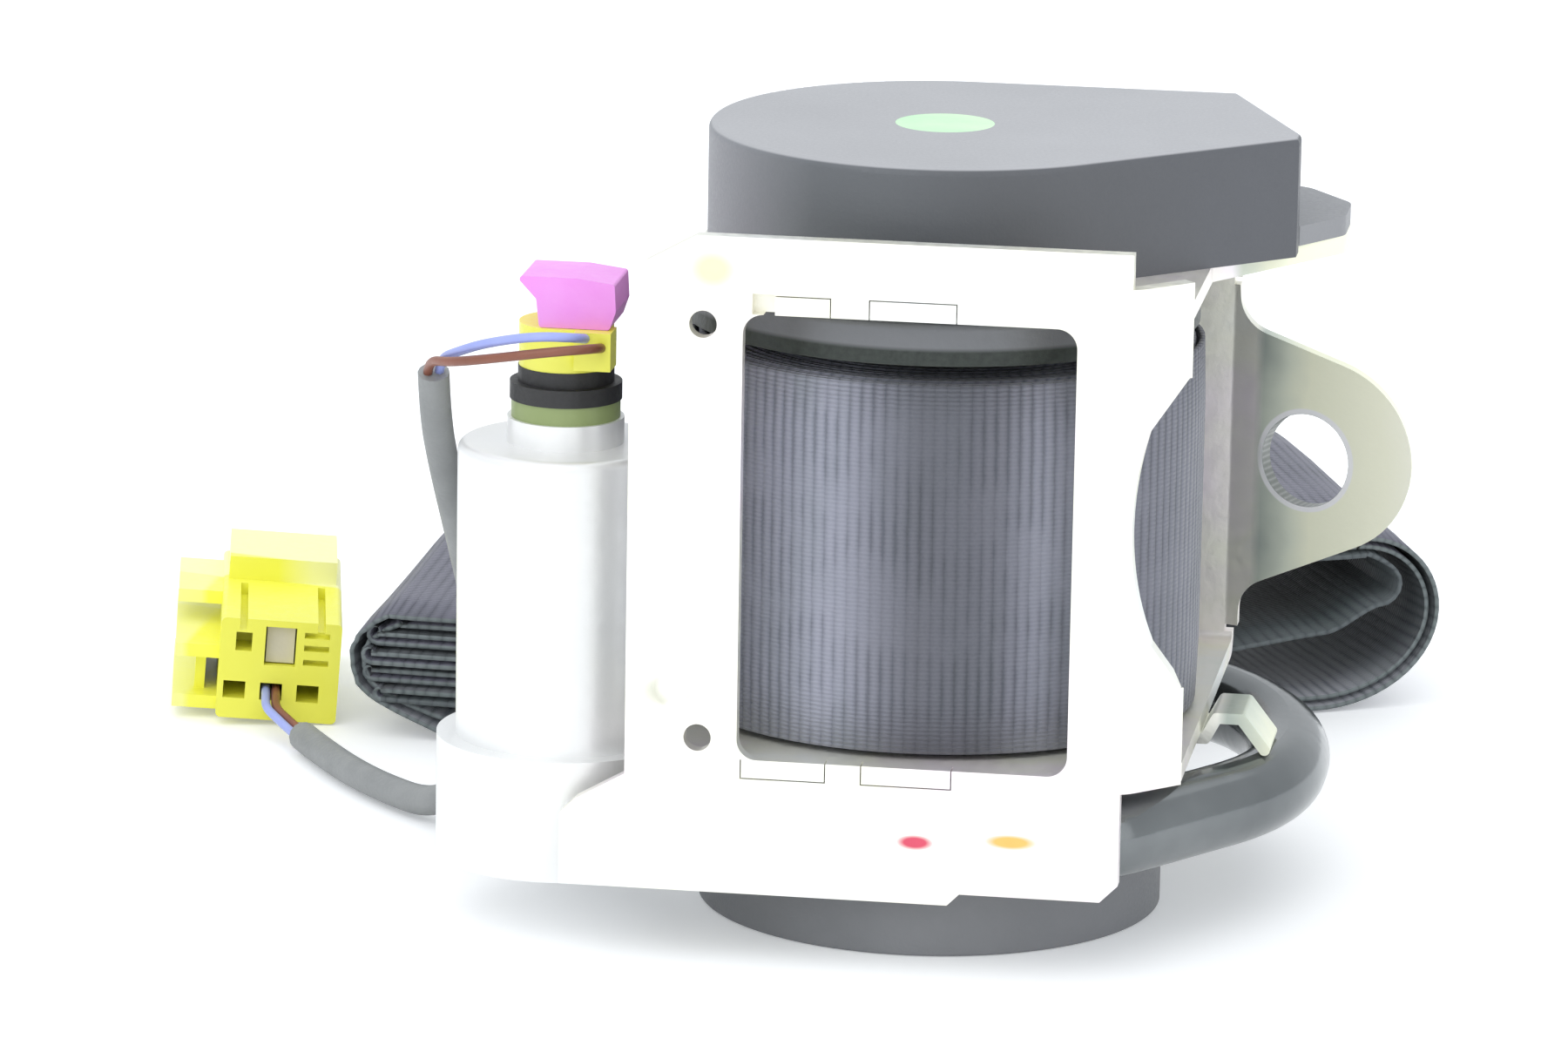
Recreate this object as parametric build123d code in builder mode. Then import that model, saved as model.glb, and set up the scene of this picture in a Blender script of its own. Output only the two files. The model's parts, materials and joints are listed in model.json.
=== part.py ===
from build123d import *
from math import acos, atan2, cos, degrees, hypot, pi, radians, sin, tan
import os

# Seat belt retractor with pyrotechnic pretensioner, standing on its side.
# Millimetres. The origin is on the spool axis where the spring cover meets the surface,
# +Z runs up the spool axis, the tie plate faces -Y and the bolt lug points along +X.

# Webbing and its roll
web_width = 47.0
web_t = 1.2
roll_r = 33.7
drum_r = 13.0
roll_play = 0.5

# Return spring cassette at the bottom
cassette_r = 29.4
cassette_wall = 1.6
cassette_floor = 1.8
cassette_high = 9.0
lid_t = 1.5
arbor_r = 5.5
stub_r = 3.5
spring_t = 0.5
spring_turns = 7
spring_gap = 0.8
spring_low = cassette_floor + spring_gap
spring_high = cassette_high - spring_gap

# Pretensioner between the cassette and the lower side plate
housing_r = 25.5
housing_low = cassette_high + lid_t
housing_h = 13.3
pinion_r = 13.0
pinion_gap = 0.6
pocket_count = 8
pocket_r = 4.3
pocket_pitch_r = pinion_r + 2.2
tube_r = 5.25
tube_wall = 0.8
tube_z = housing_low + 5.5
steel_ball_r = 4.2
steel_ball_count = 12
ball_pitch = 2 * steel_ball_r + 0.2
screw_r = 1.6
screw_pitch_r = 20.6

# Heights of the frame, the roll and the locking head, from the pretensioner up
sheet = 2.3
plate_low = housing_low + housing_h
collar_t = 2.0
head_t = 5.2
head_gap = 1.2
roll_low = plate_low + sheet + roll_play
roll_high = roll_low + web_width
head_low = roll_high + collar_t
head_high = head_low + head_t
plate_high = head_high + head_gap
frame_top = plate_high + sheet
inside_height = plate_high - plate_low - sheet
frame_mid = (plate_low + frame_top) / 2

# Sheet metal frame in plan
bend_r = 1.0
frame_left = -30.0
frame_right = 34.5
back_face = roll_r + 1.8
back_out = back_face + sheet
back_window_w = 34.0
back_window_h = 30.0
back_window_r = 5.0

# Bolt lug, bent forward from the right edge of the base plate
lug_bend_x = frame_right - 1.0
lug_tilt = 20.0
lug_reach = 27.0
lug_centre_x = lug_bend_x + 11.5
lug_centre_z = frame_mid - 2.05
lug_end_r = 12.7
lug_bolt_x = lug_centre_x - 1.4
lug_bolt_z = lug_centre_z - 0.8
bolt_hole_r = 6.1
lug_root_up = frame_mid + 14.15
lug_root_low = frame_mid - 21.05
lug_root_fillet = 5.0

# Tie plate across the front of the side plates
tie_t = 2.0
tie_bend = 2.0
tie_out = -roll_r - 3.3
tie_in = tie_out + tie_t
tie_left = -33.3
tie_right = 28.0
tie_low = plate_low - 14.8
tie_step = 1.5
tie_high = frame_top + 7.2
window_left = -19.4
window_right = 21.4
window_r = 2.5
slot_gap = 0.15
ear_left = -41.4
ear_top = plate_low - 3.8
wing_low = plate_low + 0.5
wing_high = frame_top + 2.9
wing_end_x = tie_right + 6.8
bite_h = 38.8
bite_mouth = 6.0
tenons_high = ((-15.5, -8.8), (-3.9, 6.6))
tenons_low = ((-18.8, -8.5), (-3.9, 7.1))
pilot_r = 1.7
pilots = ((-24.3, plate_high - 1.5), (-24.3, plate_low + 4.8))

# Locking teeth in the upper side plate and the pawl that enters them
tooth_count = 24
tooth_tip_r = 22.3
tooth_root_r = tooth_tip_r + 2.7
tooth_face = 1.0
tooth_back = 3.5
tooth_mouth = 3.2
head_r = 32.5
boss_r = tooth_tip_r - 1.3
boss_high = plate_high - 0.1
head_pocket_r = 3.4
pawl_t = sheet - 0.1
pawl_low = boss_high
pawl_high = pawl_low + pawl_t
pawl_swing = 10.0
pawl_x = -13.5
pawl_y = -11.5
pawl_tip_x = 4.5
pawl_tip_r = tooth_tip_r - 1.1
pivot_r = 1.6
running = 0.05
shaft_r = 4.0

# Lock wheel above the upper side plate
wheel_low = frame_top + 0.9
wheel_web = 1.8
wheel_h = 5.8
wheel_high = wheel_low + wheel_h
wheel_root_r = 24.0
wheel_tip_r = wheel_root_r + 2.2
wheel_rim = 1.6
wheel_room = 0.4
wheel_turn = 360.0 / tooth_count
mass_r = wheel_root_r - wheel_rim - 1.8
mass_in_r = shaft_r + 5.0
mass_t = 2.6
mass_pin_y = 13.5

# Mechanism base and its cover
cover_wall = 1.6
cover_r = wheel_tip_r + 3.2
cover_air = 6.9
cover_high = wheel_high + cover_air + cover_wall
base_t = 2.5
base_high = frame_top + base_t
cap_r = 6.2
cap_t = 0.6
boss_len = 4.5

# Vehicle sensor in the side pocket of the cover
sensor_y = 4.5
sensor_z = frame_top + 5.3
ball_r = 3.2
ball_x = wheel_tip_r + 8.2
ball_gap = 0.3
ball_travel = 1.5
lever_t = 1.6
lever_pivot_x = wheel_tip_r + 3.9
lever_pivot_y = 17.0
lever_low = frame_top + 2.3
lever_high = lever_low + 5.8
dish_slope = 60.0
lever_throw = 1.3
pocket_heel_x = wheel_tip_r + 7.8
pocket_toe_x = wheel_tip_r + 18.0
flare_x = wheel_tip_r + 22.9
flare_y = cover_r + 4.6
flare_low_y = flare_y - 18.0
flare_nip = 6.6

# Gas chamber and squib, beside the roll
chamber_x = -44.4
chamber_y = -18.0
chamber_r = 13.4
chamber_foot_r = chamber_r + 2.4
chamber_low = housing_low - 2.5
chamber_shoulder = tube_z + 7.4
chamber_high = chamber_shoulder + 37.4
cartridge_len = 26.0
squib_r = 6.0
squib_neck_r = 4.5
chamber_neck_r = 7.3
chamber_neck_high = chamber_high + 3.2
ring_r = 6.8
ring_high = chamber_neck_high + 2.3
igniter_high = ring_high + 2.0
collar_r = 7.0
collar_neck_r = 6.0
collar_high = ring_high + 4.2
plug_r = 5.9
plug_high = collar_high + 5.5
latch_high = plug_high + 6.4
latch_travel = 3.0

# Harness and its connector
wire_r = 0.6
wire_gap = 0.75
sleeve_r = 2.0
tail_gap = 0.68
connector_corner = (-90.2, 63.6)
connector_yaw = 12.0
connector_roll = 4.0
connector_w = 16.4
connector_d = 38.0
connector_face_h = 14.0
connector_h = connector_face_h + 3.2
hood_back = 22.0
wire_hole_z = 4.0
wire_holes = (-5.9, -0.9, 4.1)
lock_z = 10.4
lock_w = 3.8
lock_h = 5.0

# Folded free webbing behind the retractor
bundle_edge = ((-87.0, 58.6), (-62.0, 56.9), (34.0, 94.6), (55.5, 105.6))
bundle_low_h = 17.4
bundle_high_h = 24.8
bundle_rise = 44.0

os.makedirs("parts", exist_ok=True)


def unit(x, y):
    length = hypot(x, y)
    return (x / length, y / length)


def touch_point(px, pz, cx, cz, r, side):
    """The point where a line from (px, pz) touches a circle."""
    away = atan2(pz - cz, px - cx)
    spread = acos(r / hypot(px - cx, pz - cz))
    angle = away + side * spread
    return (cx + r * cos(angle), cz + r * sin(angle))


def turned(x, y, cx, cy, angle):
    """A point turned about a centre by an angle in degrees."""
    a = radians(angle)
    dx = x - cx
    dy = y - cy
    return (cx + dx * cos(a) - dy * sin(a), cy + dx * sin(a) + dy * cos(a))


def route_radii(points, share):
    """Corner radii of a route: a share of the shorter run over the tangent of half the turn."""
    radii = []
    for a, b, c in zip(points, points[1:], points[2:]):
        run_in = Vector(*b) - Vector(*a)
        run_out = Vector(*c) - Vector(*b)
        half = radians(run_in.get_angle(run_out) / 2)
        radii.append(share * min(run_in.length, run_out.length) / tan(half))
    return radii


# Main frame: one bent sheet with two side plates, a base plate and the bolt lug
lug_u = (cos(radians(lug_tilt)), -sin(radians(lug_tilt)))
lug_n = (sin(radians(lug_tilt)), cos(radians(lug_tilt)))
bend_cy = back_face - bend_r
lug_front = (lug_bend_x + bend_r * lug_n[0], bend_cy + bend_r * lug_n[1])
lug_rear = (lug_bend_x + (bend_r + sheet) * lug_n[0], bend_cy + (bend_r + sheet) * lug_n[1])
lug_front_end = (lug_front[0] + lug_reach * lug_u[0], lug_front[1] + lug_reach * lug_u[1])
lug_rear_end = (lug_rear[0] + lug_reach * lug_u[0], lug_rear[1] + lug_reach * lug_u[1])
lug_tip_up = touch_point(lug_bend_x + 1.1, lug_root_up, lug_centre_x, lug_centre_z, lug_end_r, -1)
lug_tip_low = touch_point(lug_bend_x + 1.7, lug_root_low, lug_centre_x, lug_centre_z, lug_end_r, 1)
wing_slope = wing_end_x - 64.7
peg_ring = (wheel_tip_r + wheel_room + cover_r - cover_wall - 0.1) / 2
peg_out = peg_ring * sin(radians(45))
base_pegs = ((-peg_out, -peg_out), (-peg_out, peg_out), (flare_x - 7.1, flare_y - 12.0))
peg_r = 1.2
housing_screws = [
    (screw_pitch_r * cos(radians(a)), screw_pitch_r * sin(radians(a))) for a in (80, 200, 320)
]
chamfer_x = tie_in + 61.6

with BuildPart() as main_frame:
    with BuildSketch(Plane.YZ.offset(frame_left)) as channel:
        with Locations(((tie_in + back_out) / 2, frame_mid)):
            Rectangle(back_out - tie_in, frame_top - plate_low)
        fillet(channel.vertices().sort_by(Axis.X)[-2:], bend_r + sheet)
        with BuildSketch(mode=Mode.SUBTRACT) as inside:
            with Locations(((tie_in + back_face) / 2, frame_mid)):
                Rectangle(back_face - tie_in, inside_height)
            fillet(inside.vertices().sort_by(Axis.X)[-2:], bend_r)
    extrude(amount=frame_right - frame_left)
    # The front corners follow the bent wing of the tie plate
    with BuildSketch(Plane.XY.offset(plate_low - 1)):
        with BuildLine():
            Polyline(
                (chamfer_x, tie_in),
                (frame_right + 1, tie_in + frame_right + 1 - chamfer_x),
                (frame_right + 1, tie_in - 1),
                (chamfer_x, tie_in - 1),
                close=True,
            )
        make_face()
    extrude(amount=frame_top - plate_low + 2, mode=Mode.SUBTRACT)
    # Room for the lug bend beside the base plate
    with BuildSketch(Plane.XY.offset(lug_root_low - 6)):
        with Locations((lug_bend_x + 1, back_face + sheet / 2)):
            Rectangle(2, sheet + 2)
    extrude(amount=lug_root_up - lug_root_low + 12, mode=Mode.SUBTRACT)
    # Flared corner of the upper side plate under the sensor pocket
    with BuildSketch(Plane.XY.offset(plate_high)) as flare:
        with BuildLine():
            Polyline(
                (frame_right - 2, -5.4),
                (frame_right, -5.4),
                (flare_x, flare_low_y),
                (flare_x, flare_y - 9.5),
                (flare_x - flare_nip, flare_y),
                (frame_right - 2, flare_y),
                close=True,
            )
        make_face()
        fillet(flare.vertices().filter_by(lambda v: v.X > flare_x - 9.1), 4.0)
    extrude(amount=sheet)
    # Tenons staked into the tie plate
    for low, pairs in ((plate_high, tenons_high), (plate_low, tenons_low)):
        for left, right in pairs:
            with Locations(((left + right) / 2, tie_in - tie_t / 2, low + sheet / 2)):
                Box(right - left, tie_t, sheet)
    # Ratchet hole in the upper side plate
    swung_tip = turned(pawl_tip_x, -(pawl_tip_r ** 2 - pawl_tip_x ** 2) ** 0.5, pawl_x, pawl_y, -pawl_swing)
    frame_phase = degrees(atan2(swung_tip[1], swung_tip[0]))
    with BuildSketch(Plane.XY.offset(plate_high)):
        Circle(tooth_tip_r)
        with PolarLocations(0, tooth_count, start_angle=frame_phase):
            Polygon(
                (tooth_tip_r - 1, -tooth_back),
                (tooth_root_r, -tooth_face),
                (tooth_root_r, tooth_face),
                (tooth_root_r - 1.1, tooth_face),
                (tooth_tip_r - 1, tooth_mouth),
                align=None,
            )
    extrude(amount=sheet, mode=Mode.SUBTRACT)
    # Bearing hole, screw holes and peg holes
    with Locations((0, 0, plate_low)):
        Cylinder(pinion_r + 3, sheet, align=(Align.CENTER, Align.CENTER, Align.MIN), mode=Mode.SUBTRACT)
    for x, y in housing_screws:
        with Locations((x, y, plate_low)):
            Cylinder(screw_r, sheet, align=(Align.CENTER, Align.CENTER, Align.MIN), mode=Mode.SUBTRACT)
    for x, y in base_pegs:
        with Locations((x, y, plate_high)):
            Cylinder(peg_r + 0.1, sheet, align=(Align.CENTER, Align.CENTER, Align.MIN), mode=Mode.SUBTRACT)
    # Window in the base plate
    with BuildSketch(Plane.XZ.offset(-back_face)):
        with Locations((0, frame_mid)):
            RectangleRounded(back_window_w, back_window_h, back_window_r)
    extrude(amount=-sheet, mode=Mode.SUBTRACT)

with BuildPart() as lug:
    with BuildSketch(Plane.XY.offset(plate_low + sheet + 1)):
        with BuildLine():
            Line((lug_bend_x - 6, back_face), (lug_bend_x, back_face))
            ThreePointArc(
                (lug_bend_x, back_face),
                (
                    lug_bend_x + bend_r * sin(radians(lug_tilt / 2)),
                    bend_cy + bend_r * cos(radians(lug_tilt / 2)),
                ),
                lug_front,
            )
            Line(lug_front, lug_front_end)
            Line(lug_front_end, lug_rear_end)
            Line(lug_rear_end, lug_rear)
            ThreePointArc(
                lug_rear,
                (
                    lug_bend_x + (bend_r + sheet) * sin(radians(lug_tilt / 2)),
                    bend_cy + (bend_r + sheet) * cos(radians(lug_tilt / 2)),
                ),
                (lug_bend_x, back_out),
            )
            Line((lug_bend_x, back_out), (lug_bend_x - 6, back_out))
            Line((lug_bend_x - 6, back_out), (lug_bend_x - 6, back_face))
        make_face()
    extrude(amount=inside_height - 2)
    # Outline of the lug as seen from the front
    with BuildSketch(Plane.XZ.offset(-back_out - 5)) as outline:
        with Locations((lug_centre_x, lug_centre_z)):
            Circle(lug_end_r)
        with BuildLine():
            Polyline(
                (lug_bend_x - 6, lug_root_low - 5),
                (lug_bend_x + 1.7, lug_root_low - 5),
                (lug_bend_x + 1.7, lug_root_low),
                lug_tip_low,
                lug_tip_up,
                (lug_bend_x + 1.1, lug_root_up),
                (lug_bend_x + 0.8, lug_root_up + 5),
                (lug_bend_x - 6, lug_root_up + 5),
                close=True,
            )
        make_face()
        corners = outline.vertices().filter_by(
            lambda v: lug_bend_x + 1 < v.X < lug_bend_x + 2 and lug_root_low - 1 < v.Y < lug_root_up + 1
        )
        fillet(corners, lug_root_fillet)
    extrude(amount=back_out + 30, mode=Mode.INTERSECT)
    bolt_s = (lug_bolt_x - lug_front[0]) / lug_u[0]
    bolt_plane = Plane(
        origin=(lug_bolt_x, lug_front[1] + bolt_s * lug_u[1], lug_bolt_z),
        x_dir=(lug_u[0], lug_u[1], 0),
        z_dir=(-lug_n[0], -lug_n[1], 0),
    )
    with BuildSketch(bolt_plane):
        Circle(bolt_hole_r)
    extrude(amount=-sheet - 1, both=True, mode=Mode.SUBTRACT)

with BuildPart() as main_frame_whole:
    add(main_frame.part)
    add(lug.part)
main_frame_whole.part.label = "main_frame"
export_step(main_frame_whole.part, "parts/main_frame.step")


# Tie plate: window, tenon slots, pilot holes and the bent wing with its bite
wing_bend_out = tie_bend + tie_t
bite_high = frame_mid + 1.95 + bite_h / 2
bite_low = bite_high - bite_h
wing_bend_x = tie_right - 1.2
wing_c = (wing_bend_x, tie_out + wing_bend_out)
wing_dir = unit(1, 1)
wing_out = (wing_c[0] + wing_bend_out * sin(pi / 4), wing_c[1] - wing_bend_out * cos(pi / 4))
wing_len = (wing_end_x - wing_out[0]) / wing_dir[0]
wing_in = (
    wing_c[0] + (wing_bend_out - tie_t) * sin(pi / 4),
    wing_c[1] - (wing_bend_out - tie_t) * cos(pi / 4),
)

with BuildPart() as tie_plate:
    with BuildSketch(Plane.XZ.offset(-tie_out)) as face:
        with BuildLine():
            Polyline(
                (ear_left, tie_low),
                (7.0, tie_low),
                (7.0 + tie_step, tie_low + tie_step),
                (tie_right - 2.2, tie_low + tie_step),
                (tie_right, tie_low + tie_step + 2.2),
                (tie_right, wing_low),
                (wing_bend_x, wing_low),
                (wing_bend_x, wing_high),
                (tie_right, wing_high),
                (tie_right, tie_high),
                (-25.2, tie_high),
                (-31.5, tie_high - 3.5),
                (tie_left, tie_high - 7.0),
                (tie_left, ear_top + 3.5),
                (ear_left + 2.0, ear_top),
                (ear_left, ear_top - 2.0),
                close=True,
            )
        make_face()
        with Locations(((window_left + window_right) / 2, plate_low + sheet + inside_height / 2)):
            RectangleRounded(window_right - window_left, inside_height, window_r, mode=Mode.SUBTRACT)
        for left, right in tenons_high:
            with Locations(((left + right) / 2, plate_high + (sheet + slot_gap) / 2)):
                Rectangle(right - left + 2 * slot_gap, sheet + slot_gap, mode=Mode.SUBTRACT)
        for left, right in tenons_low:
            with Locations(((left + right) / 2, plate_low + (sheet - slot_gap) / 2)):
                Rectangle(right - left + 2 * slot_gap, sheet + slot_gap, mode=Mode.SUBTRACT)
        with Locations((tenons_high[0][0] - 1.4, plate_high + 1.3)):
            Rectangle(2.8, 2.6, mode=Mode.SUBTRACT)
        with Locations(*pilots):
            Circle(pilot_r, mode=Mode.SUBTRACT)
    extrude(amount=-tie_t)
    with BuildSketch(Plane.XY.offset(wing_low)):
        with BuildLine():
            Line((wing_bend_x, tie_out), (wing_bend_x, tie_in))
            ThreePointArc(
                (wing_bend_x, tie_in),
                (
                    wing_c[0] + (wing_bend_out - tie_t) * sin(pi / 8),
                    wing_c[1] - (wing_bend_out - tie_t) * cos(pi / 8),
                ),
                wing_in,
            )
            Line(wing_in, (wing_in[0] + wing_len * wing_dir[0], wing_in[1] + wing_len * wing_dir[1]))
            Line(
                (wing_in[0] + wing_len * wing_dir[0], wing_in[1] + wing_len * wing_dir[1]),
                (wing_out[0] + wing_len * wing_dir[0], wing_out[1] + wing_len * wing_dir[1]),
            )
            Line((wing_out[0] + wing_len * wing_dir[0], wing_out[1] + wing_len * wing_dir[1]), wing_out)
            ThreePointArc(
                wing_out,
                (wing_c[0] + wing_bend_out * sin(pi / 8), wing_c[1] - wing_bend_out * cos(pi / 8)),
                (wing_bend_x, tie_out),
            )
        make_face()
    extrude(amount=wing_high - wing_low)
    # The bite that leaves the roll in view
    with BuildSketch(Plane.XZ.offset(-tie_out + 1)):
        with BuildLine():
            Line((wing_end_x + 2, bite_high), (wing_end_x - 0.3, bite_high))
            Line((wing_end_x - 0.3, bite_high), (wing_end_x - 4.5, bite_high - bite_mouth))
            ThreePointArc(
                (wing_end_x - 4.5, bite_high - bite_mouth),
                (wing_end_x - 6.2, (bite_high + bite_low) / 2 - 0.5),
                (wing_end_x - 3.8, bite_low + bite_mouth),
            )
            Line((wing_end_x - 3.8, bite_low + bite_mouth), (wing_end_x - 0.3, bite_low))
            Line((wing_end_x - 0.3, bite_low), (wing_end_x + 2, bite_low))
            Line((wing_end_x + 2, bite_low), (wing_end_x + 2, bite_high))
        make_face()
    extrude(amount=-16, mode=Mode.SUBTRACT)
    # Shallow staking mark
    with Locations((-27.3, tie_out - 5.4, plate_low + 10.9)):
        Sphere(6.0, mode=Mode.SUBTRACT)
tie_plate.part.label = "tie_plate"
export_step(tie_plate.part, "parts/tie_plate.step")


def pocket_outline(grow):
    """Plan outline of the mechanism cover: a round with the flank and heel of the sensor pocket."""
    r = cover_r + grow
    heel = (pocket_heel_x + 0.45 * grow, r)
    toe_up = (pocket_toe_x + grow, 4.2 + 0.4 * grow)
    toe_low = (pocket_toe_x + grow, 1.0 - 0.4 * grow)
    flank = touch_point(toe_low[0], toe_low[1], 0, 0, r, -1)
    far = (-r, 0)
    Line((0, r), heel)
    Line(heel, toe_up)
    Line(toe_up, toe_low)
    Line(toe_low, flank)
    ThreePointArc(flank, far, (0, r))


# Mechanism base: moulding on the upper side plate, inside the cover but for its tab under the pocket
sensor_room_w = 14.5
sensor_room_d = 26.4
sensor_mid_x = ball_x - 1.9
sensor_mid_y = sensor_y + 3.4
tab_corners = (
    (flare_x - 19.1, flare_y),
    (flare_x - flare_nip, flare_y),
    (flare_x, flare_y - 9.5),
    (flare_x, flare_low_y),
    (flare_x - 5.1, flare_low_y - 8.0),
    (flare_x - 19.1, flare_low_y - 8.0),
)
with BuildPart() as mechanism_base:
    with BuildSketch(Plane.XY.offset(frame_top)) as base_plan:
        with BuildLine():
            pocket_outline(-cover_wall - 0.1)
        make_face()
        with BuildLine():
            Polyline(*tab_corners, close=True)
        make_face()
        tab_tips = base_plan.vertices().filter_by(
            lambda v: v.X > flare_x - 4.1 or (v.Y > flare_y - 1 and v.X > flare_x - 9.1)
        )
        fillet(tab_tips, 4.0)
        Circle(wheel_tip_r + wheel_room, mode=Mode.SUBTRACT)
        with Locations((sensor_mid_x, sensor_mid_y)):
            Rectangle(sensor_room_w, sensor_room_d, mode=Mode.SUBTRACT)
    extrude(amount=base_t)
    for x, y in base_pegs:
        with Locations((x, y, plate_high - 0.8)):
            Cylinder(peg_r, sheet + 0.8, align=(Align.CENTER, Align.CENTER, Align.MIN))
mechanism_base.part.label = "mechanism_base"
export_step(mechanism_base.part, "parts/mechanism_base.step")


# Mechanism cover: grey cup with the sensor pocket, a bearing boss and the recess of the green cap
cover_low = frame_top
roof_low = cover_high - cover_wall
with BuildPart() as mechanism_cover:
    with BuildSketch(Plane.XY.offset(cover_low)):
        with BuildLine():
            pocket_outline(0)
        make_face()
    extrude(amount=cover_high - cover_low)
    fillet(mechanism_cover.edges().group_by(Axis.Z)[-1], 1.0)
    with BuildSketch(Plane.XY.offset(cover_low)):
        with BuildLine():
            pocket_outline(-cover_wall)
        make_face()
    extrude(amount=roof_low - cover_low, mode=Mode.SUBTRACT)
    # Way out for the tab of the base
    with BuildSketch(Plane.XY.offset(cover_low)):
        with BuildLine():
            Polyline(*tab_corners, close=True)
        make_face()
    extrude(amount=base_t, mode=Mode.SUBTRACT)
    with Locations((0, 0, roof_low - boss_len)):
        Cylinder(shaft_r + 3.0, boss_len, align=(Align.CENTER, Align.CENTER, Align.MIN))
        Cylinder(shaft_r + 1.4, boss_len, align=(Align.CENTER, Align.CENTER, Align.MIN), mode=Mode.SUBTRACT)
    with Locations((0, 0, cover_high - cap_t)):
        Cylinder(cap_r, cap_t, align=(Align.CENTER, Align.CENTER, Align.MIN), mode=Mode.SUBTRACT)
mechanism_cover.part.label = "mechanism_cover"
export_step(mechanism_cover.part, "parts/mechanism_cover.step")

# Green cap set flush in the cover
with BuildPart() as cover_cap:
    with Locations((0, 0, cover_high - cap_t)):
        Cylinder(cap_r, cap_t, align=(Align.CENTER, Align.CENTER, Align.MIN))
cover_cap.part.label = "cover_cap"
export_step(cover_cap.part, "parts/cover_cap.step")

# Upper bush pressed into the cover boss
with BuildPart() as upper_bush:
    with Locations((0, 0, roof_low - boss_len)):
        Cylinder(shaft_r + 1.4, boss_len, align=(Align.CENTER, Align.CENTER, Align.MIN))
        Cylinder(
            shaft_r + running, boss_len,
            align=(Align.CENTER, Align.CENTER, Align.MIN), mode=Mode.SUBTRACT,
        )
upper_bush.part.label = "upper_bush"
export_step(upper_bush.part, "parts/upper_bush.step")


# Spool drum: core that the webbing is wound on
drum_low = plate_low + 0.1
bar_room_r = 6.6
with BuildPart() as spool_drum:
    with Locations((0, 0, drum_low)):
        Cylinder(drum_r, head_low - drum_low, align=(Align.CENTER, Align.CENTER, Align.MIN))
        Cylinder(
            bar_room_r, head_low - drum_low,
            align=(Align.CENTER, Align.CENTER, Align.MIN), mode=Mode.SUBTRACT,
        )
    # Slot that holds the end loop of the webbing
    with Locations((0, -drum_r + 2.6, (roll_low + roll_high) / 2)):
        Box(5.4, 3.0, web_width, mode=Mode.SUBTRACT)
    # Collar that keeps the webbing off the locking head
    with Locations((0, 0, roll_high)):
        Cylinder(drum_r + 6, head_low - roll_high, align=(Align.CENTER, Align.CENTER, Align.MIN))
        Cylinder(
            bar_room_r, head_low - roll_high,
            align=(Align.CENTER, Align.CENTER, Align.MIN), mode=Mode.SUBTRACT,
        )
spool_drum.part.label = "spool_drum"
export_step(spool_drum.part, "parts/spool_drum.step")

# Pin in the end loop of the webbing
with BuildPart() as webbing_pin:
    with Locations((0, -drum_r + 2.6, roll_low)):
        Cylinder(1.5, web_width, align=(Align.CENTER, Align.CENTER, Align.MIN))
webbing_pin.part.label = "webbing_pin"
export_step(webbing_pin.part, "parts/webbing_pin.step")

# Webbing wound on the drum
with BuildPart() as webbing_roll:
    with Locations((0, 0, roll_low)):
        Cylinder(roll_r, web_width, align=(Align.CENTER, Align.CENTER, Align.MIN))
        Cylinder(drum_r, web_width, align=(Align.CENTER, Align.CENTER, Align.MIN), mode=Mode.SUBTRACT)
webbing_roll.part.label = "webbing_roll"
export_step(webbing_roll.part, "parts/webbing_roll.step")

# Torsion bar: round shank between two hexagon heads, with the stub of the spring arbor
hex_r = 6.3
pinion_low = housing_low + 0.7
pinion_high = drum_low
bar_top = head_high - 1.0
with BuildPart() as torsion_bar:
    with BuildSketch(Plane.XY.offset(pinion_low)):
        RegularPolygon(hex_r, 6)
    extrude(amount=pinion_high - pinion_low)
    with BuildSketch(Plane.XY.offset(head_low)):
        RegularPolygon(hex_r, 6)
    extrude(amount=bar_top - head_low)
    with Locations((0, 0, pinion_high)):
        Cylinder(4.6, head_low - pinion_high, align=(Align.CENTER, Align.CENTER, Align.MIN))
    with Locations((0, 0, spring_low)):
        Cylinder(stub_r, pinion_low - spring_low, align=(Align.CENTER, Align.CENTER, Align.MIN))
torsion_bar.part.label = "torsion_bar"
export_step(torsion_bar.part, "parts/torsion_bar.step")

# Locking head: flange, boss under the pawl and the upper shaft
with BuildPart() as locking_head:
    with Locations((0, 0, head_low)):
        Cylinder(head_r, head_high - head_low, align=(Align.CENTER, Align.CENTER, Align.MIN))
    fillet(locking_head.edges().group_by(Axis.Z)[-1], 0.8)
    with Locations((0, 0, head_high)):
        Cylinder(boss_r, boss_high - head_high, align=(Align.CENTER, Align.CENTER, Align.MIN))
    with Locations((0, 0, boss_high)):
        Cylinder(shaft_r + 2, wheel_low - 0.2 - boss_high, align=(Align.CENTER, Align.CENTER, Align.MIN))
        Cylinder(shaft_r, roof_low - 0.4 - boss_high, align=(Align.CENTER, Align.CENTER, Align.MIN))
    with BuildSketch(Plane.XY.offset(head_low)):
        RegularPolygon(hex_r, 6)
    extrude(amount=bar_top - head_low, mode=Mode.SUBTRACT)
    # Lightening pockets round the flange
    with BuildSketch(Plane.XY.offset(head_low)):
        with PolarLocations((boss_r + head_r) / 2, 8):
            Circle(head_pocket_r)
    extrude(amount=head_t / 2, mode=Mode.SUBTRACT)
locking_head.part.label = "locking_head"
export_step(locking_head.part, "parts/locking_head.step")

# Pawl pin in the locking head
with BuildPart() as pawl_pin:
    with Locations((pawl_x, pawl_y, boss_high)):
        Cylinder(pivot_r, pawl_t + 0.3, align=(Align.CENTER, Align.CENTER, Align.MIN))
pawl_pin.part.label = "pawl_pin"
export_step(pawl_pin.part, "parts/pawl_pin.step")

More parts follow.
